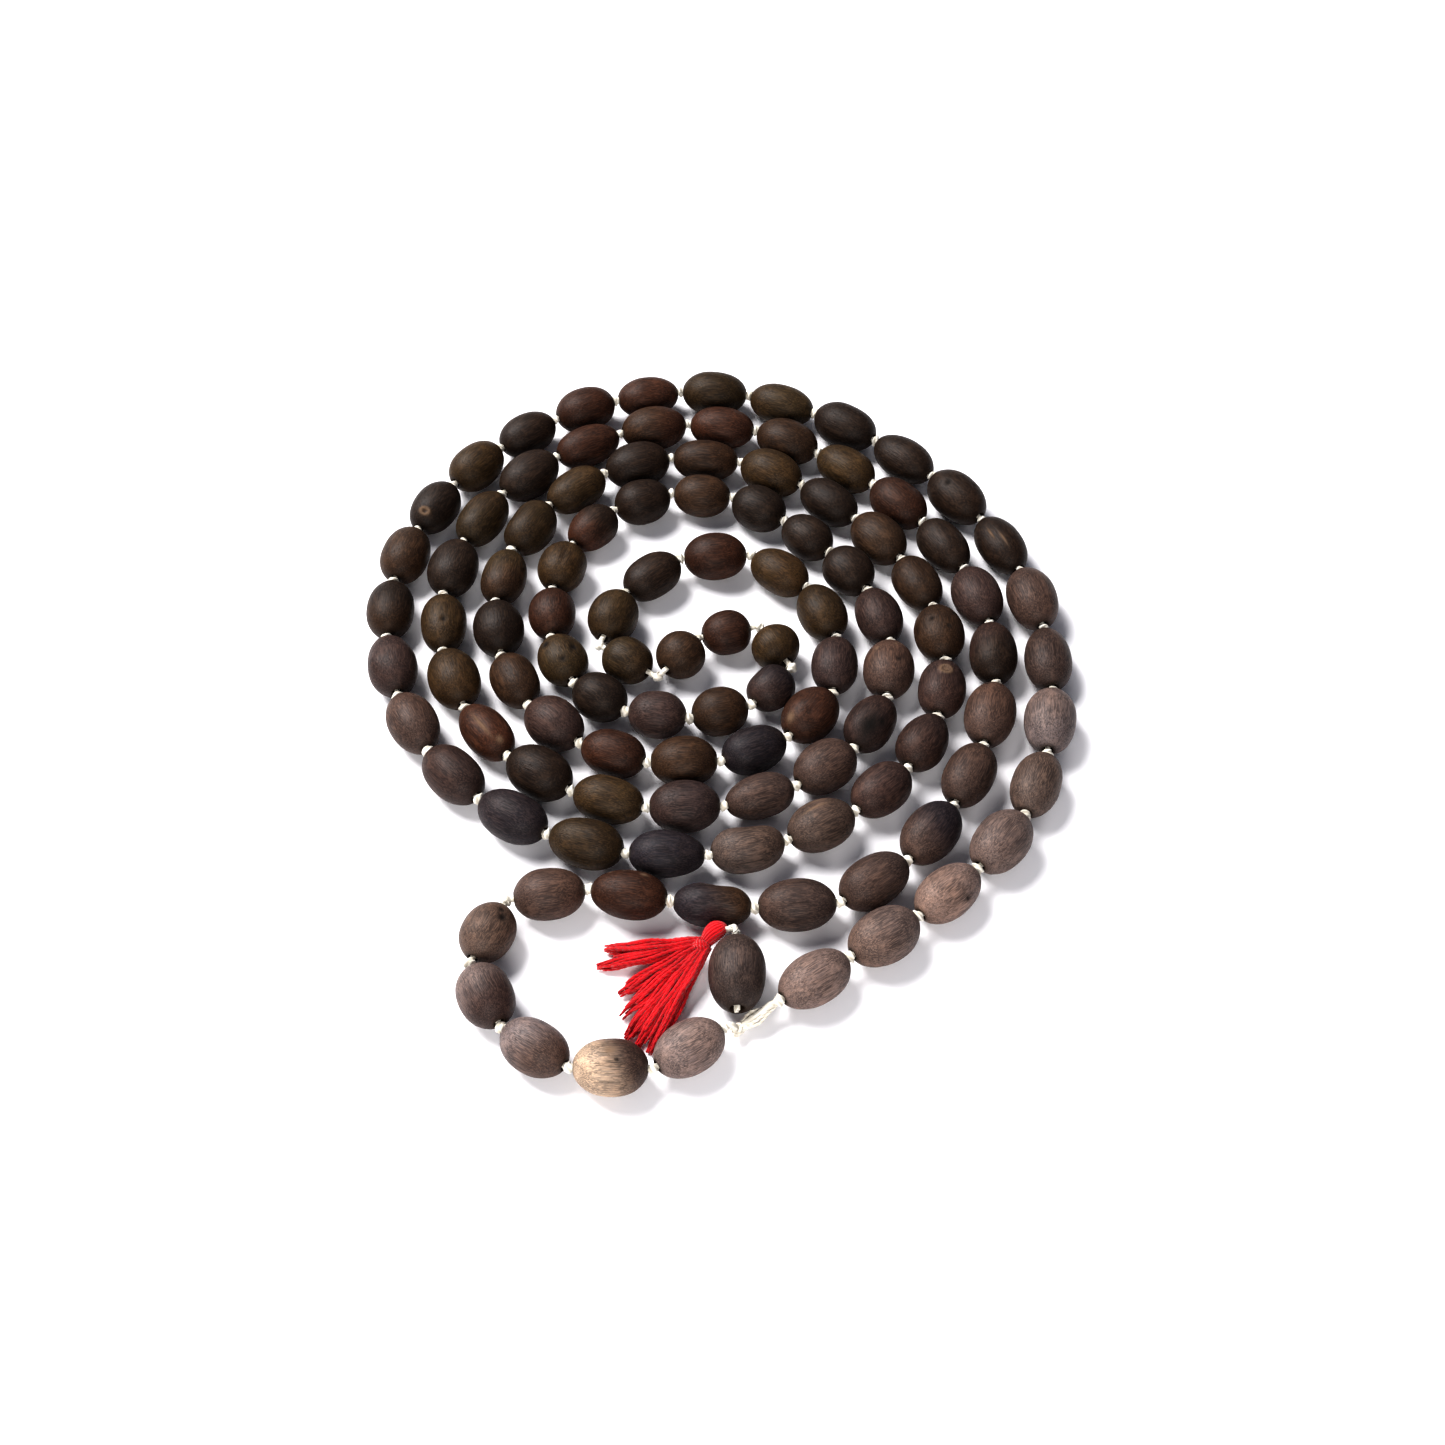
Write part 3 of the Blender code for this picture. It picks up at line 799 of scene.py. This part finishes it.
SEED_MARKS = {
    3: (Mark(0.1, -60, 0.45, 0.2),),
    9: (Mark(-0.2, 10, 0.22, 0.05, SCAR, stretch=9.0), Mark(0.15, 30, 0.2, 0.05, SCAR, stretch=8.0)),
    10: (Mark(0.2, 20, 0.6, 0.2), Mark(-0.3, -30, 0.5, 0.15)),
    15: (Mark(-0.2, 30, 2.6, 0.35, DENT), Mark(0.55, -20, 1.6, 0.25, DENT)),
    19: (Mark(0.64, 8, 0.45, -0.15, SCAR, ring=0.95, stretch=0.7), Mark(0.64, 8, 0.6, 0.4, DENT)),
    22: (Mark(0.1, -40, 2.4, -0.45, DENT), Mark(-0.5, 60, 1.8, 0.3, DENT)),
    28: (Mark(0.15, 60, 4.0, 1.0, DENT),),
    29: (Mark(-0.1, 20, 0.3, 0.08, SCAR, stretch=9.0), Mark(0.1, 45, 0.25, 0.05, SCAR, stretch=9.0)),
    32: (Mark(0.30, -4, 0.34, -0.12, SCAR, ring=1.15), Mark(0.30, -4, 0.7, 0.25, SCAR)),
    33: (Mark(0.1, 20, 0.5, 0.2), Mark(-0.25, -15, 0.4, 0.2), Mark(0.35, -40, 0.4, 0.15)),
    41: (Mark(0.1, -70, 4.5, 0.9, DENT),),
    49: (Mark(-0.75, 20, 0.9, 0.1, SCAR), Mark(0.2, 30, 2.2, 0.4, DENT),
         Mark(-0.3, -20, 1.8, 0.3, DENT)),
    60: (Mark(0.0, -70, 4.5, 0.9, DENT),),
    64: (Mark(0.42, 35, 0.75, 0.35), Mark(-0.12, -30, 0.75, 0.35), Mark(-0.5, 10, 0.5, 0.2)),
    66: (Mark(0.0, -10, 0.8, 0.18, DENT, stretch=6.0),),
    74: (Mark(-0.35, -35, 0.5, 0.05, SCAR), Mark(0.1, 20, 0.4, 0.15), Mark(-0.55, 15, 0.35, 0.05, SCAR)),
    75: (Mark(0.45, 15, 1.7, 0.15, PIT, stretch=1.6), Mark(0.15, 35, 0.8, 0.1)),
    81: (Mark(-0.1, 15, 0.35, 0.12, SCAR, stretch=9.0), Mark(-0.75, 0, 0.7, 0.1, SCAR)),
    83: (Mark(-0.3, -5, 0.6, 0.3),),
    96: (Mark(-0.75, -30, 0.5, 0.2),),
    101: (Mark(-0.18, 60, 3.4, 1.25, DENT), Mark(-0.14, -70, 3.0, 0.7, DENT)),
    102: (Mark(-0.35, -35, 0.5, 0.05, SCAR, stretch=1.4), Mark(0.55, -45, 0.4, 0.05, SCAR)),
    104: (Mark(-0.35, 30, 0.8, 0.3), Mark(-0.6, 20, 0.5, 0.2)),
    107: (Mark(0.0, 10, 0.7, 0.05, SCAR, stretch=1.6), Mark(0.2, -10, 0.35, 0.15)),
}
# how much slimmer a seed is at one end: at its start above zero, at its far end below it
PEAR_SEEDS = {15: 0.3, 27: -0.5, 31: -0.45, 51: -0.35, 67: 0.35, 77: -0.5, 81: -0.4, 87: -0.3, 93: -0.35,
              102: -0.3, 58: 0.3, 47: 0.1, 26: 0.2}


@dataclass
class SeedShape:
    """How one seed's surface is worked out.

    Along the seed, with s = cos(angle) from 1 to -1, the outline's radius is (1 - |s| ** fullness) ** 0.5,
    made slimmer at one end by the seed's pear shape. It lies on its broader side, a few waves flatten it
    here and there, and each mark sinks or raises a bell-shaped patch. The bore runs from rim to rim.
    """

    seed: Seed
    breadth: float = 1.03
    bore: float = 0.00095
    rim: float = 0.00028
    columns: int = 44
    rings: int = 30
    bore_rings: int = 4
    fullness: float = 2.2
    wave_depth: float = 0.014

    def _outline(self) -> tuple[Array, Array, Array]:
        """Return the rings' heights along the seed and their radii, and 1 or 0 outside or in the bore."""
        number, half = self.seed.number, self.seed.length / 2
        end_s = (1 - ((self.bore + self.rim) / self.seed.radius) ** 2) ** (1 / self.fullness)
        s = np.cos(np.linspace(math.acos(end_s), math.pi - math.acos(end_s), self.rings))
        radius = np.sqrt(1 - np.abs(s) ** self.fullness) * self.seed.radius
        pear = PEAR_SEEDS.get(number, 0.16 * spread(number, 2.3))
        radius *= 1 - abs(pear) * 0.16 * (1 - np.sign(pear) * s) * (1 - np.abs(s) ** 6)
        inner = np.linspace(-1.0, 1.0, self.bore_rings) * (half - 0.0003)
        heights = np.concatenate([s / end_s * half, inner])
        radii = np.concatenate([radius, np.full(self.bore_rings, self.bore)])
        outer = np.concatenate([np.ones(self.rings), np.zeros(self.bore_rings)])
        return heights[:, None], radii[:, None], outer[:, None]

    def _waves(self, a: Array, s: Array, shift: float) -> Array:
        """Return how far waves flatten the seed, as a share of its radius.

        They are cosines of one, two, three and five times the angle and a sine along the seed. Only what
        is below their upper level counts, and it fades towards the ends as 1 - s ** 4.

        Args:
            a: The angles round the seed.
            s: The rings' places along it, from -1 to 1.
            shift: The seed's own start on the waves.

        Returns:
            A value of zero or less for each point.
        """
        wave = (0.7 * np.cos(a + 2.3 * shift + 2.8 * s) + 0.9 * np.cos(2 * a + shift)
                + 0.6 * np.cos(3 * a + 1.7 * shift + 1.5 * s) + 0.35 * np.cos(5 * a + 0.7 * shift + 2.0 * s)
                + 0.8 * np.sin(3.4 * s + shift))
        return np.minimum(self.wave_depth * (wave - 0.8) * (1 - s**4), 0.0)

    def surface(self, tint: Array, far_tint: Array) -> Surface:
        """Return the seed's closed surface; its colour goes from one end's to the other's in a smooth step.

        Args:
            tint: The shell's colour where the seed starts.
            far_tint: Its colour at the far end.

        Returns:
            The surface with the shell's attributes.
        """
        seed, number = self.seed, self.seed.number
        heights, radii, outer = self._outline()
        a = angles(self.columns)[None, :]
        s = np.clip(heights / (seed.length / 2), -1, 1)
        shift = 3.1 * number
        reach = radii * (1 + outer * self._waves(a, s, shift))
        patches = {kind: np.zeros_like(reach) for kind in MarkKind}
        for mark in SEED_MARKS.get(number, ()):
            bell = mark.bell(a, radii, heights, seed.length) * outer
            reach -= bell * mark.depth * MM
            patches[mark.kind] = np.maximum(patches[mark.kind], bell)
        left = np.cross(UP, seed.axis)
        wide = 1 + (self.breadth - 1) * outer * (1 - s**4)
        round_ = np.cos(a)[..., None] * UP + (wide * np.sin(a))[..., None] * left
        points = seed.centre + heights[..., None] * seed.axis + reach[..., None] * round_
        local = np.stack([reach * np.cos(a), reach * np.sin(a), heights + 0 * a], axis=-1) / MM
        # rim: darker towards the ends as the shell's own colour, and 1 all through the bore, where it is
        # painted shade in the hole
        near_rim = np.clip((np.abs(s) - 0.93) / 0.07, 0, 1) ** 2
        share = np.clip(0.5 + 0.8 * s + 0.25 * np.cos(a + shift), 0, 1)
        share = (share * share * (3 - 2 * share))[..., None]
        colour = np.ones((*reach.shape, 4))
        colour[..., :3] = tint * (1 - share) + far_tint * share
        values = {"seed_space": local + np.array([37.0, 11.0, 23.0]) * number, "seed_tint": colour,
                  "pit": patches[PIT][..., None] ** 0.7, "scar": patches[SCAR][..., None],
                  "rim": (np.maximum(near_rim * 0.8, 1 - outer) + 0 * a)[..., None]}
        return Surface(points, closed_rows=True, values=values)


@dataclass
class SeedBeads:
    """All the seeds of the strand, one piece each."""

    strand: Strand
    shell: Material
    marked_detail: float = 1.7

    def build(self) -> list[Piece]:
        """Make every seed; a marked one has a finer grid."""
        tones = {number: tone for tone, numbers in SEED_TONES.items() for number in numbers}
        pieces = []
        for seed, breadth in zip(self.strand.seeds, self.strand.breadths()):
            tone = tones.get(seed.number, Tone.BROWN)
            far_tone = FAR_END_TONES.get(seed.number, tone)
            light = 1 + 0.16 * spread(seed.number, 3.1)
            warm = 1 + 0.08 * spread(seed.number, 0.9) * np.array([1.0, 0.0, -1.0])
            lean = 1 + 0.14 * spread(seed.number, 2.9)
            tint, far_tint = np.array(tone.value) * light * warm, np.array(far_tone.value) * light * lean
            detail = self.marked_detail if seed.number in SEED_MARKS else 1.0
            shape = SeedShape(seed, float(breadth), columns=int(SeedShape.columns * detail),
                              rings=int(SeedShape.rings * detail))
            piece = mesh_piece(f"lotus_seed_{seed.number:03d}", [shape.surface(tint, far_tint)], self.shell)
            pieces.append(settle(piece, seed.body, tone.slot, seed.node))
        return pieces


# --- guru bead ---
@dataclass
class GuruBead:
    """The bigger bead where the loop closes."""

    shell: Material
    tint: Colour = (0.054, 0.040, 0.036)

    def build(self) -> list[Piece]:
        """Make the bead, darker at its front."""
        seed = Seed(0, in_plan(GURU_CENTRE), np.array([0.0, 1.0, 0.0]), GURU_LENGTH * MM, GURU_RADIUS * MM)
        shape = SeedShape(seed, 1.0, bore=0.00135, columns=64, rings=44, wave_depth=0.012)
        tint = np.array(self.tint)
        piece = mesh_piece("guru_seed", [shape.surface(0.75 * tint, 1.2 * tint)], self.shell)
        return [settle(piece, "guru_bead", "lotus_seed_olive", "guru_bead")]


# --- cord ---
@dataclass
class KnottedCord:
    """The cotton cord of the whole loop: it starts and ends in the gathering knot under the guru bead.

    Its radius is the cord's, and at each knot that of a ball, knot_radius * (1 - (distance / knot_reach)
    ** 2) ** 0.5. A knot's two lobes come from a wave round it whose place differs from knot to knot.
    """

    strand: Strand
    cotton: Material
    radius: float = 0.00062
    knot_radius: float = 0.00124
    knot_reach: float = 0.00100
    bend_reach: float = 0.0021
    lobe: float = 0.20
    columns: int = 18
    pitch: float = 0.0032

    def route(self) -> tuple[Array, Array]:
        """Return the cord's centreline and how much of a knot is at each of its points."""
        gathering = in_plan(GATHERING_KNOT)
        steps = np.linspace(-1.0, 1.0, 19) * self.bend_reach
        share = ((steps / self.bend_reach + 1) / 2)[:, None]
        path, lump = [gathering[None]], [np.full(1, 0.6)]
        for index in range(SEED_COUNT + 1):
            middle = self.strand.knot_place(index)
            before = self.strand.seeds[max(index - 1, 0)]
            after = self.strand.seeds[min(index, SEED_COUNT - 1)]
            into = before.axis if index else unit(middle - gathering)
            out = after.axis if index < SEED_COUNT else unit(gathering - middle)
            turn = unit(into * (1 - share) + out * share)
            points = middle + steps[:, None] * np.where(steps[:, None] < 0, into, out)
            points[:, :2] = points[:, :2] * 0.7 + 0.3 * (middle + steps[:, None] * turn)[:, :2]
            points[:, 2] = (before.radius * (1 - share) + after.radius * share)[:, 0]
            path.append(points)
            size = 1 + 0.10 * spread(index, 1.5)
            lump.append(size * np.sqrt(np.clip(1 - (steps / self.knot_reach) ** 2, 0, 1)))
        path.append(gathering[None])
        lump.append(np.full(1, 0.6))
        return np.concatenate(path), np.concatenate(lump)

    def build(self) -> list[Piece]:
        path, lump = self.route()
        radius = np.maximum(self.radius, self.knot_radius * lump)
        tube = twisted_tube(path, radius, self.columns, 3, self.pitch)
        offset = tube.points - path[:, None]
        wave = 2 * np.arctan2(offset[..., 2], 0.0003) + np.arange(len(path))[:, None] * 0.9
        tube.points = path[:, None] + offset * (1 + self.lobe * lump[:, None] * np.cos(wave))[..., None]
        piece = settle(mesh_piece("knotted_cord", [tube], self.cotton), "strand", "cream_cotton", "cord")
        length = float(np.linalg.norm(np.diff(path, axis=0), axis=1).sum())
        tuple(path[0])
        2 * self.radius
        [tuple(point) for point in path]
        log.info("the cord is %.3f m long", length)
        return [piece]


# --- gathering knot, loop and tassel ---
@dataclass
class GuruTie:
    """What ties the loop at the guru bead: the gathering knot, frayed plies and the tassel's loop."""

    strand: Strand
    cotton: Material
    cord_radius: float = 0.00047
    cords_apart: float = 0.00046
    knot_size: tuple[float, float, float] = (0.00042, 0.00036, 0.00055)
    plies: int = 8

    @staticmethod
    def _smooth(points: Array, steps: int) -> Array:
        """Return a Catmull-Rom curve through rows of points."""
        padded = np.vstack([2 * points[0] - points[1], points, 2 * points[-1] - points[-2]])
        t = np.linspace(0.0, 1.0, steps, endpoint=False)[None, :, None]
        a, b, c, d = (padded[k:len(padded) - 3 + k][:, None] for k in range(4))
        square, cube = (2 * a - 5 * b + 4 * c - d) * t**2, (3 * b - a - 3 * c + d) * t**3
        dense = 0.5 * (2 * b + (c - a) * t + square + cube)
        return np.vstack([dense.reshape(-1, 3), points[-1:]])

    def _piece(self, name: str, tubes: list[Surface], node: str | None = None) -> Piece:
        """Return tubes of cotton as one piece that stays with the strand."""
        return settle(mesh_piece(name, tubes, self.cotton), "strand", "cream_cotton", node)

    def loop(self) -> Piece:
        """Make the doubled cord through the guru bead, as two cords twisted about each other."""
        route = self._smooth(in_plan(LOOP_ROUTE), 14)
        first, second = carried_frames(route, np.array([0.3, 0.2, 1.0]))
        turn = np.linspace(0.0, math.tau * 1.6, len(route))[:, None]
        tubes = []
        for half in (0.0, math.pi):
            path = route + self.cords_apart * (np.cos(turn + half) * first + np.sin(turn + half) * second)
            tubes.append(twisted_tube(path, np.full(len(path), self.cord_radius), 12, 3, 0.0028))
        return self._piece("tassel_loop_cords", tubes, "tassel_loop")

    def gathering_knot(self) -> Piece:
        """Make the lump of turns under the guru bead: a cord laid as a trefoil, closed on itself."""
        t = angles(150)
        trefoil = np.stack([np.sin(t) + 2 * np.sin(2 * t), np.cos(t) - 2 * np.cos(2 * t), -np.sin(3 * t)])
        path = in_plan(GATHERING_KNOT) + trefoil.T * np.array(self.knot_size) + 0.0002 * UP
        tube = twisted_tube(np.vstack([path, path[:1]]), np.full(151, 0.00055), 12, 3, 0.003)
        return self._piece("gathering_knot_turns", [tube])

    def frayed_ends(self) -> Piece:
        """Make the loose plies beside the bare cord that leads to the first seed.

        Each follows the straight line to that seed's knot, with a belly to one side, a wave and a rise.
        """
        start, end = in_plan(GATHERING_KNOT), self.strand.knot_place(0)
        t = np.linspace(0.0, 1.0, 34)[:, None]
        swell = np.sin(math.pi * t)
        beside = np.array([0.50, -0.86, 0.0])
        tubes = []
        for k in range(self.plies):
            aside = swell ** 0.7 * 0.00125 * spread(k, 1.1) + np.sin(9 * t + 2.1 * k) * swell * 0.00028
            reach = 1.0 if k % 3 else 0.78
            path = start + (end - start) * t * reach + aside * beside
            path[:, 2] = np.maximum(path[:, 2] + swell[:, 0] * 0.0006 * spread(k, 2.3), 0.0005)
            tubes.append(twisted_tube(path, np.linspace(0.00040, 0.00030, 34), 8, 2, 0.0024, phase=2.4 * k))
        return self._piece("frayed_plies", tubes)

    def build(self) -> list[Piece]:
        """Make all three."""
        return [self.loop(), self.gathering_knot(), self.frayed_ends()]


@dataclass(frozen=True)
class Lock:
    """A lock of the skirt: its tip from the coil's centre, its height in millimetres, and how it lies."""

    tip: tuple[float, float]
    tip_height: float = 0.9
    width: float = 1.0          # how wide the bundle is for its height
    arch: float = 0.0           # millimetres by which it rises on its way
    ragged: float = 1.0         # how uneven its ends are


LOCKS = (
    Lock((-22.8, -88.9), 1.0, 0.75, 1.3, 0.6),
    Lock((-24.2, -93.0), 0.9, 0.90, 0.7, 1.3),
    Lock((-19.6, -99.2), 0.9, 1.15, 0.5, 1.0),
    Lock((-19.0, -104.4), 0.9, 1.15, 0.6, 1.4),
    Lock((-17.9, -109.4), 0.9, 1.00, 0.5, 1.0),
    Lock((-15.6, -111.3), 0.8, 1.00, 0.3, 1.2),
    Lock((-13.0, -112.4), 0.7, 0.85, 0.1, 1.0),
)


@dataclass
class Tassel:
    """The red yarn tassel: a rounded head on the loop, a wound neck and a skirt that fans out flat.

    Its axes start at the pivot: down runs along the head, side is level, and lift is square to both.
    """

    yarn: Material
    yarns_in_lock: int = 15
    yarn_steps: int = 36
    bow: float = 0.00050
    head_stations: tuple[float, ...] = (0.15, 0.35, 0.8, 1.4, 2.1, 2.8, 3.5, 4.2, 4.9, 5.5, 6.0)
    head_radii: tuple[float, ...] = (0.25, 0.75, 1.3, 1.7, 1.88, 1.90, 1.84, 1.70, 1.50, 1.34, 1.28)
    pivot: Array = field(init=False)
    down: Array = field(init=False)
    side: Array = field(init=False)
    lift: Array = field(init=False)

    def __post_init__(self) -> None:
        """Work out the axes."""
        heading, slope = math.radians(TASSEL_HEADING), math.radians(TASSEL_SLOPE)
        level = np.array([math.cos(heading), math.sin(heading), 0.0])
        self.side = np.array([-math.sin(heading), math.cos(heading), 0.0])
        self.down = level * math.cos(slope) - math.sin(slope) * UP
        self.pivot, self.lift = in_plan(TASSEL_PIVOT), np.cross(self.down, self.side)

    def _round(self, angle: Array) -> Array:
        """Return the directions across the head at angles from its top."""
        return np.cos(angle)[..., None] * self.lift + np.sin(angle)[..., None] * self.side

    def _piece(self, name: str, surfaces: list[Surface], body: str, node: str) -> Piece:
        """Return surfaces of yarn as one piece."""
        return settle(mesh_piece(name, surfaces, self.yarn), body, "red_yarn", node)

    def head(self) -> Piece:
        """Make the head: a drop with the folded yarns' ridges, |cos(9 * angle)|, lengthwise over it."""
        along, radius = np.array(self.head_stations) * MM, np.array(self.head_radii) * MM
        fine = np.linspace(along[0], along[-1], 40)
        share = fine[:, None] / along[-1]
        middle = self.pivot + fine[:, None] * self.down - self.bow * np.sin(math.pi * share) * self.side
        angle = angles(72)[::-1]                    # backwards, so that the faces point outwards
        ridge = np.abs(np.cos(9 * (angle + 0.5 * share)))
        reach = np.interp(fine, along, radius)[:, None] * (0.955 + 0.045 * ridge)
        points = middle[:, None] + reach[..., None] * self._round(angle)
        u, v = np.meshgrid(np.linspace(71.0, -1.0, 73) / 12.0, fine / 0.002)
        uv = np.stack([u, v], axis=-1)
        surface = Surface(points, caps=True, values={"groove": ridge[..., None]}, uv=uv)
        return self._piece("tassel_head_yarn", [surface], "tassel_top", "tassel_head")

    def binding(self) -> Piece:
        """Make the neck's winding: four turns of one yarn, its turns a yarn's width apart."""
        t = np.linspace(0.0, 1.0, 190)
        bulge = (1.42 + 0.10 * np.sin(math.pi * t))[:, None] * MM
        place = (5.75 + 1.75 * t)[:, None] * MM
        path = self.pivot + place * self.down + bulge * self._round(t * math.tau * 4)
        tube = twisted_tube(path, np.full(len(t), 0.00040), 10, 2, 0.0020)
        return self._piece("tassel_neck_winding", [tube], "tassel_top", "tassel_binding")

    def skirt(self) -> Piece:
        """Make the skirt: each lock is a bundle of yarns that leaves the neck and thins to its tip.

        A lock's middle is a cubic Bezier curve from the neck to its tip. Each yarn keeps its own place
        across the bundle, whose radius swells and then narrows along it, and waves a little about it.
        """
        t = np.linspace(0.0, 1.0, self.yarn_steps)[:, None]
        swell = np.interp(t, [0.0, 0.15, 0.5, 0.8, 1.0], [0.75, 1.25, 1.65, 1.35, 0.75]) * MM
        flat = 1.0 - 0.38 * t
        tubes = []
        for j, lock in enumerate(LOCKS):
            order = 2 * j / (len(LOCKS) - 1) - 1
            start = self.pivot + 5.7 * MM * self.down + self.side * order * MM
            tip = in_plan((*lock.tip, lock.tip_height))
            chord = tip - start
            leave = (start + (0.30 * self.down + 0.70 * unit(chord)) * 0.32 * np.linalg.norm(chord)
                     + self.lift * lock.arch * MM)
            bend = tip + (leave - tip) * 0.42 + UP * lock.arch * 0.5 * MM
            middle = (1 - t)**3 * start + 3 * (1 - t)**2 * t * leave + 3 * (1 - t) * t**2 * bend + t**3 * tip
            across = unit(np.cross(chord, UP))
            for k in range(self.yarns_in_lock):
                number = self.yarns_in_lock * j + k
                place, share = 2.4 * k + j, math.sqrt((k + 0.5) / self.yarns_in_lock)
                wave = np.sin(6.0 * t + number) * 0.26 + np.sin(15.0 * t + 2.3 * number) * 0.10
                aside = swell * share * lock.width * math.cos(place) + wave * np.minimum(4 * t, 1) * MM
                ripple = np.sin(4.0 * t + 1.7 * number) * 0.22 * MM * t
                above = swell * share * flat * math.sin(place) + ripple
                path = middle + aside * across + above * UP
                path = path[:int(self.yarn_steps - 5.0 * (1 + spread(number, 1.9)) / 2 * lock.ragged)]
                path[:, 2] = np.maximum(path[:, 2], 0.00044)
                share_of_yarn = np.linspace(0, 1, len(path))
                width = np.interp(share_of_yarn, [0.0, 0.2, 0.85, 1.0], [0.32, 0.38, 0.38, 0.20]) * MM
                tubes.append(twisted_tube(path, width, 8, 2, 0.0026, depth=0.25, phase=1.3 * number))
        return self._piece("tassel_skirt_yarns", tubes, "tassel_skirt", "tassel_skirt")

    def build(self) -> list[Piece]:
        """Make the tassel's three pieces."""
        return [self.head(), self.binding(), self.skirt()]


# --- floor, light and camera ---
@dataclass
class Studio:
    """The pale floor, the soft lights and the camera."""

    view_point: Place = (0.00155, -0.00665, 0.0)
    distance: float = 0.4144
    elevation: float = 51.68
    lens: float = 47.7

    @staticmethod
    def _add(name: str, data: bpy.types.ID) -> Piece:
        """Return a new object in the scene for a camera's, a light's or a mesh's data."""
        thing = bpy.data.objects.new(name, data)
        bpy.context.scene.collection.objects.link(thing)
        return thing

    def camera(self) -> None:
        """Make the camera, looking along +Y and down at the mala."""
        data = bpy.data.cameras.new("camera")
        data.lens, data.sensor_width = self.lens, 36.0
        data.clip_start, data.clip_end = 0.01, 10.0
        camera = self._add("camera", data)
        tilt = math.radians(self.elevation)
        x, y, z = self.view_point
        camera.location = (x, y - self.distance * math.cos(tilt), z + self.distance * math.sin(tilt))
        camera.rotation_euler = (math.pi / 2 - tilt, 0.0, 0.0)
        bpy.context.scene.camera = camera

    def floor(self) -> None:
        """Make the floor."""
        mesh = bpy.data.meshes.new("floor")
        reach = 3.0
        corners = [(-reach, -reach, 0.0), (reach, -reach, 0.0), (reach, reach, 0.0), (-reach, reach, 0.0)]
        mesh.from_pydata(corners, [], [(0, 1, 2, 3)])
        mesh.materials.append(PaleFloor().material())
        self._add("floor", mesh)

    def _softbox(self, name: str, place: Place, size: float, power: float,
                 colour: Colour) -> None:
        """Hang one square light that faces the mala.

        Args:
            name: The light's name.
            place: Where it hangs, in metres.
            size: Its side, in metres.
            power: Its power, in watts.
            colour: Its colour.
        """
        data = bpy.data.lights.new(name, "AREA")
        data.size, data.energy, data.color = size, power, colour
        light = self._add(name, data)
        light.location = place
        toward = -np.array(place)
        level = math.hypot(toward[0], toward[1])
        turn = math.atan2(toward[1], toward[0]) - math.pi / 2
        light.rotation_euler = (math.atan2(level, -toward[2]), 0.0, turn)

    def lights(self) -> None:
        """Hang the lights: a soft one at the back left, a small one low at the front, and a dim sky."""
        self._softbox("back_light", (-0.55, 0.42, 0.90), 0.60, 20.0, (1.0, 0.985, 0.985))
        self._softbox("front_light", (-0.04, -0.40, 0.24), 0.20, 1.15, (1.0, 0.975, 0.96))
        world = bpy.data.worlds.new("sky")
        world.use_nodes = True
        background = world.node_tree.nodes["Background"]
        background.inputs["Color"].default_value = (0.86, 0.88, 1.0, 1.0)
        background.inputs["Strength"].default_value = 0.20
        bpy.context.scene.world = world

    def build(self) -> None:
        """Set up the whole studio."""
        self.camera()
        self.floor()
        self.lights()
        bpy.context.scene.view_settings.view_transform = "Standard"
        bpy.context.scene.view_settings.look = "High Contrast"


def main() -> None:
    """Build the mala and its studio."""
    logging.basicConfig(level=logging.INFO, format="%(name)s: %(message)s")
    Studio().build()
    strand = Strand()
    cotton = COTTON.material("cream_cotton_cord")
    shell = SeedShell().material()
    yarn = RED_YARN.material("red_tassel_yarn")
    for assembly in (KnottedCord(strand, cotton), SeedBeads(strand, shell), GuruBead(shell),
                     GuruTie(strand, cotton), Tassel(yarn)):
        for piece in assembly.build():
            log.info("%s: %s", type(assembly).__name__, piece.name)


if __name__ == "__main__":
    main()
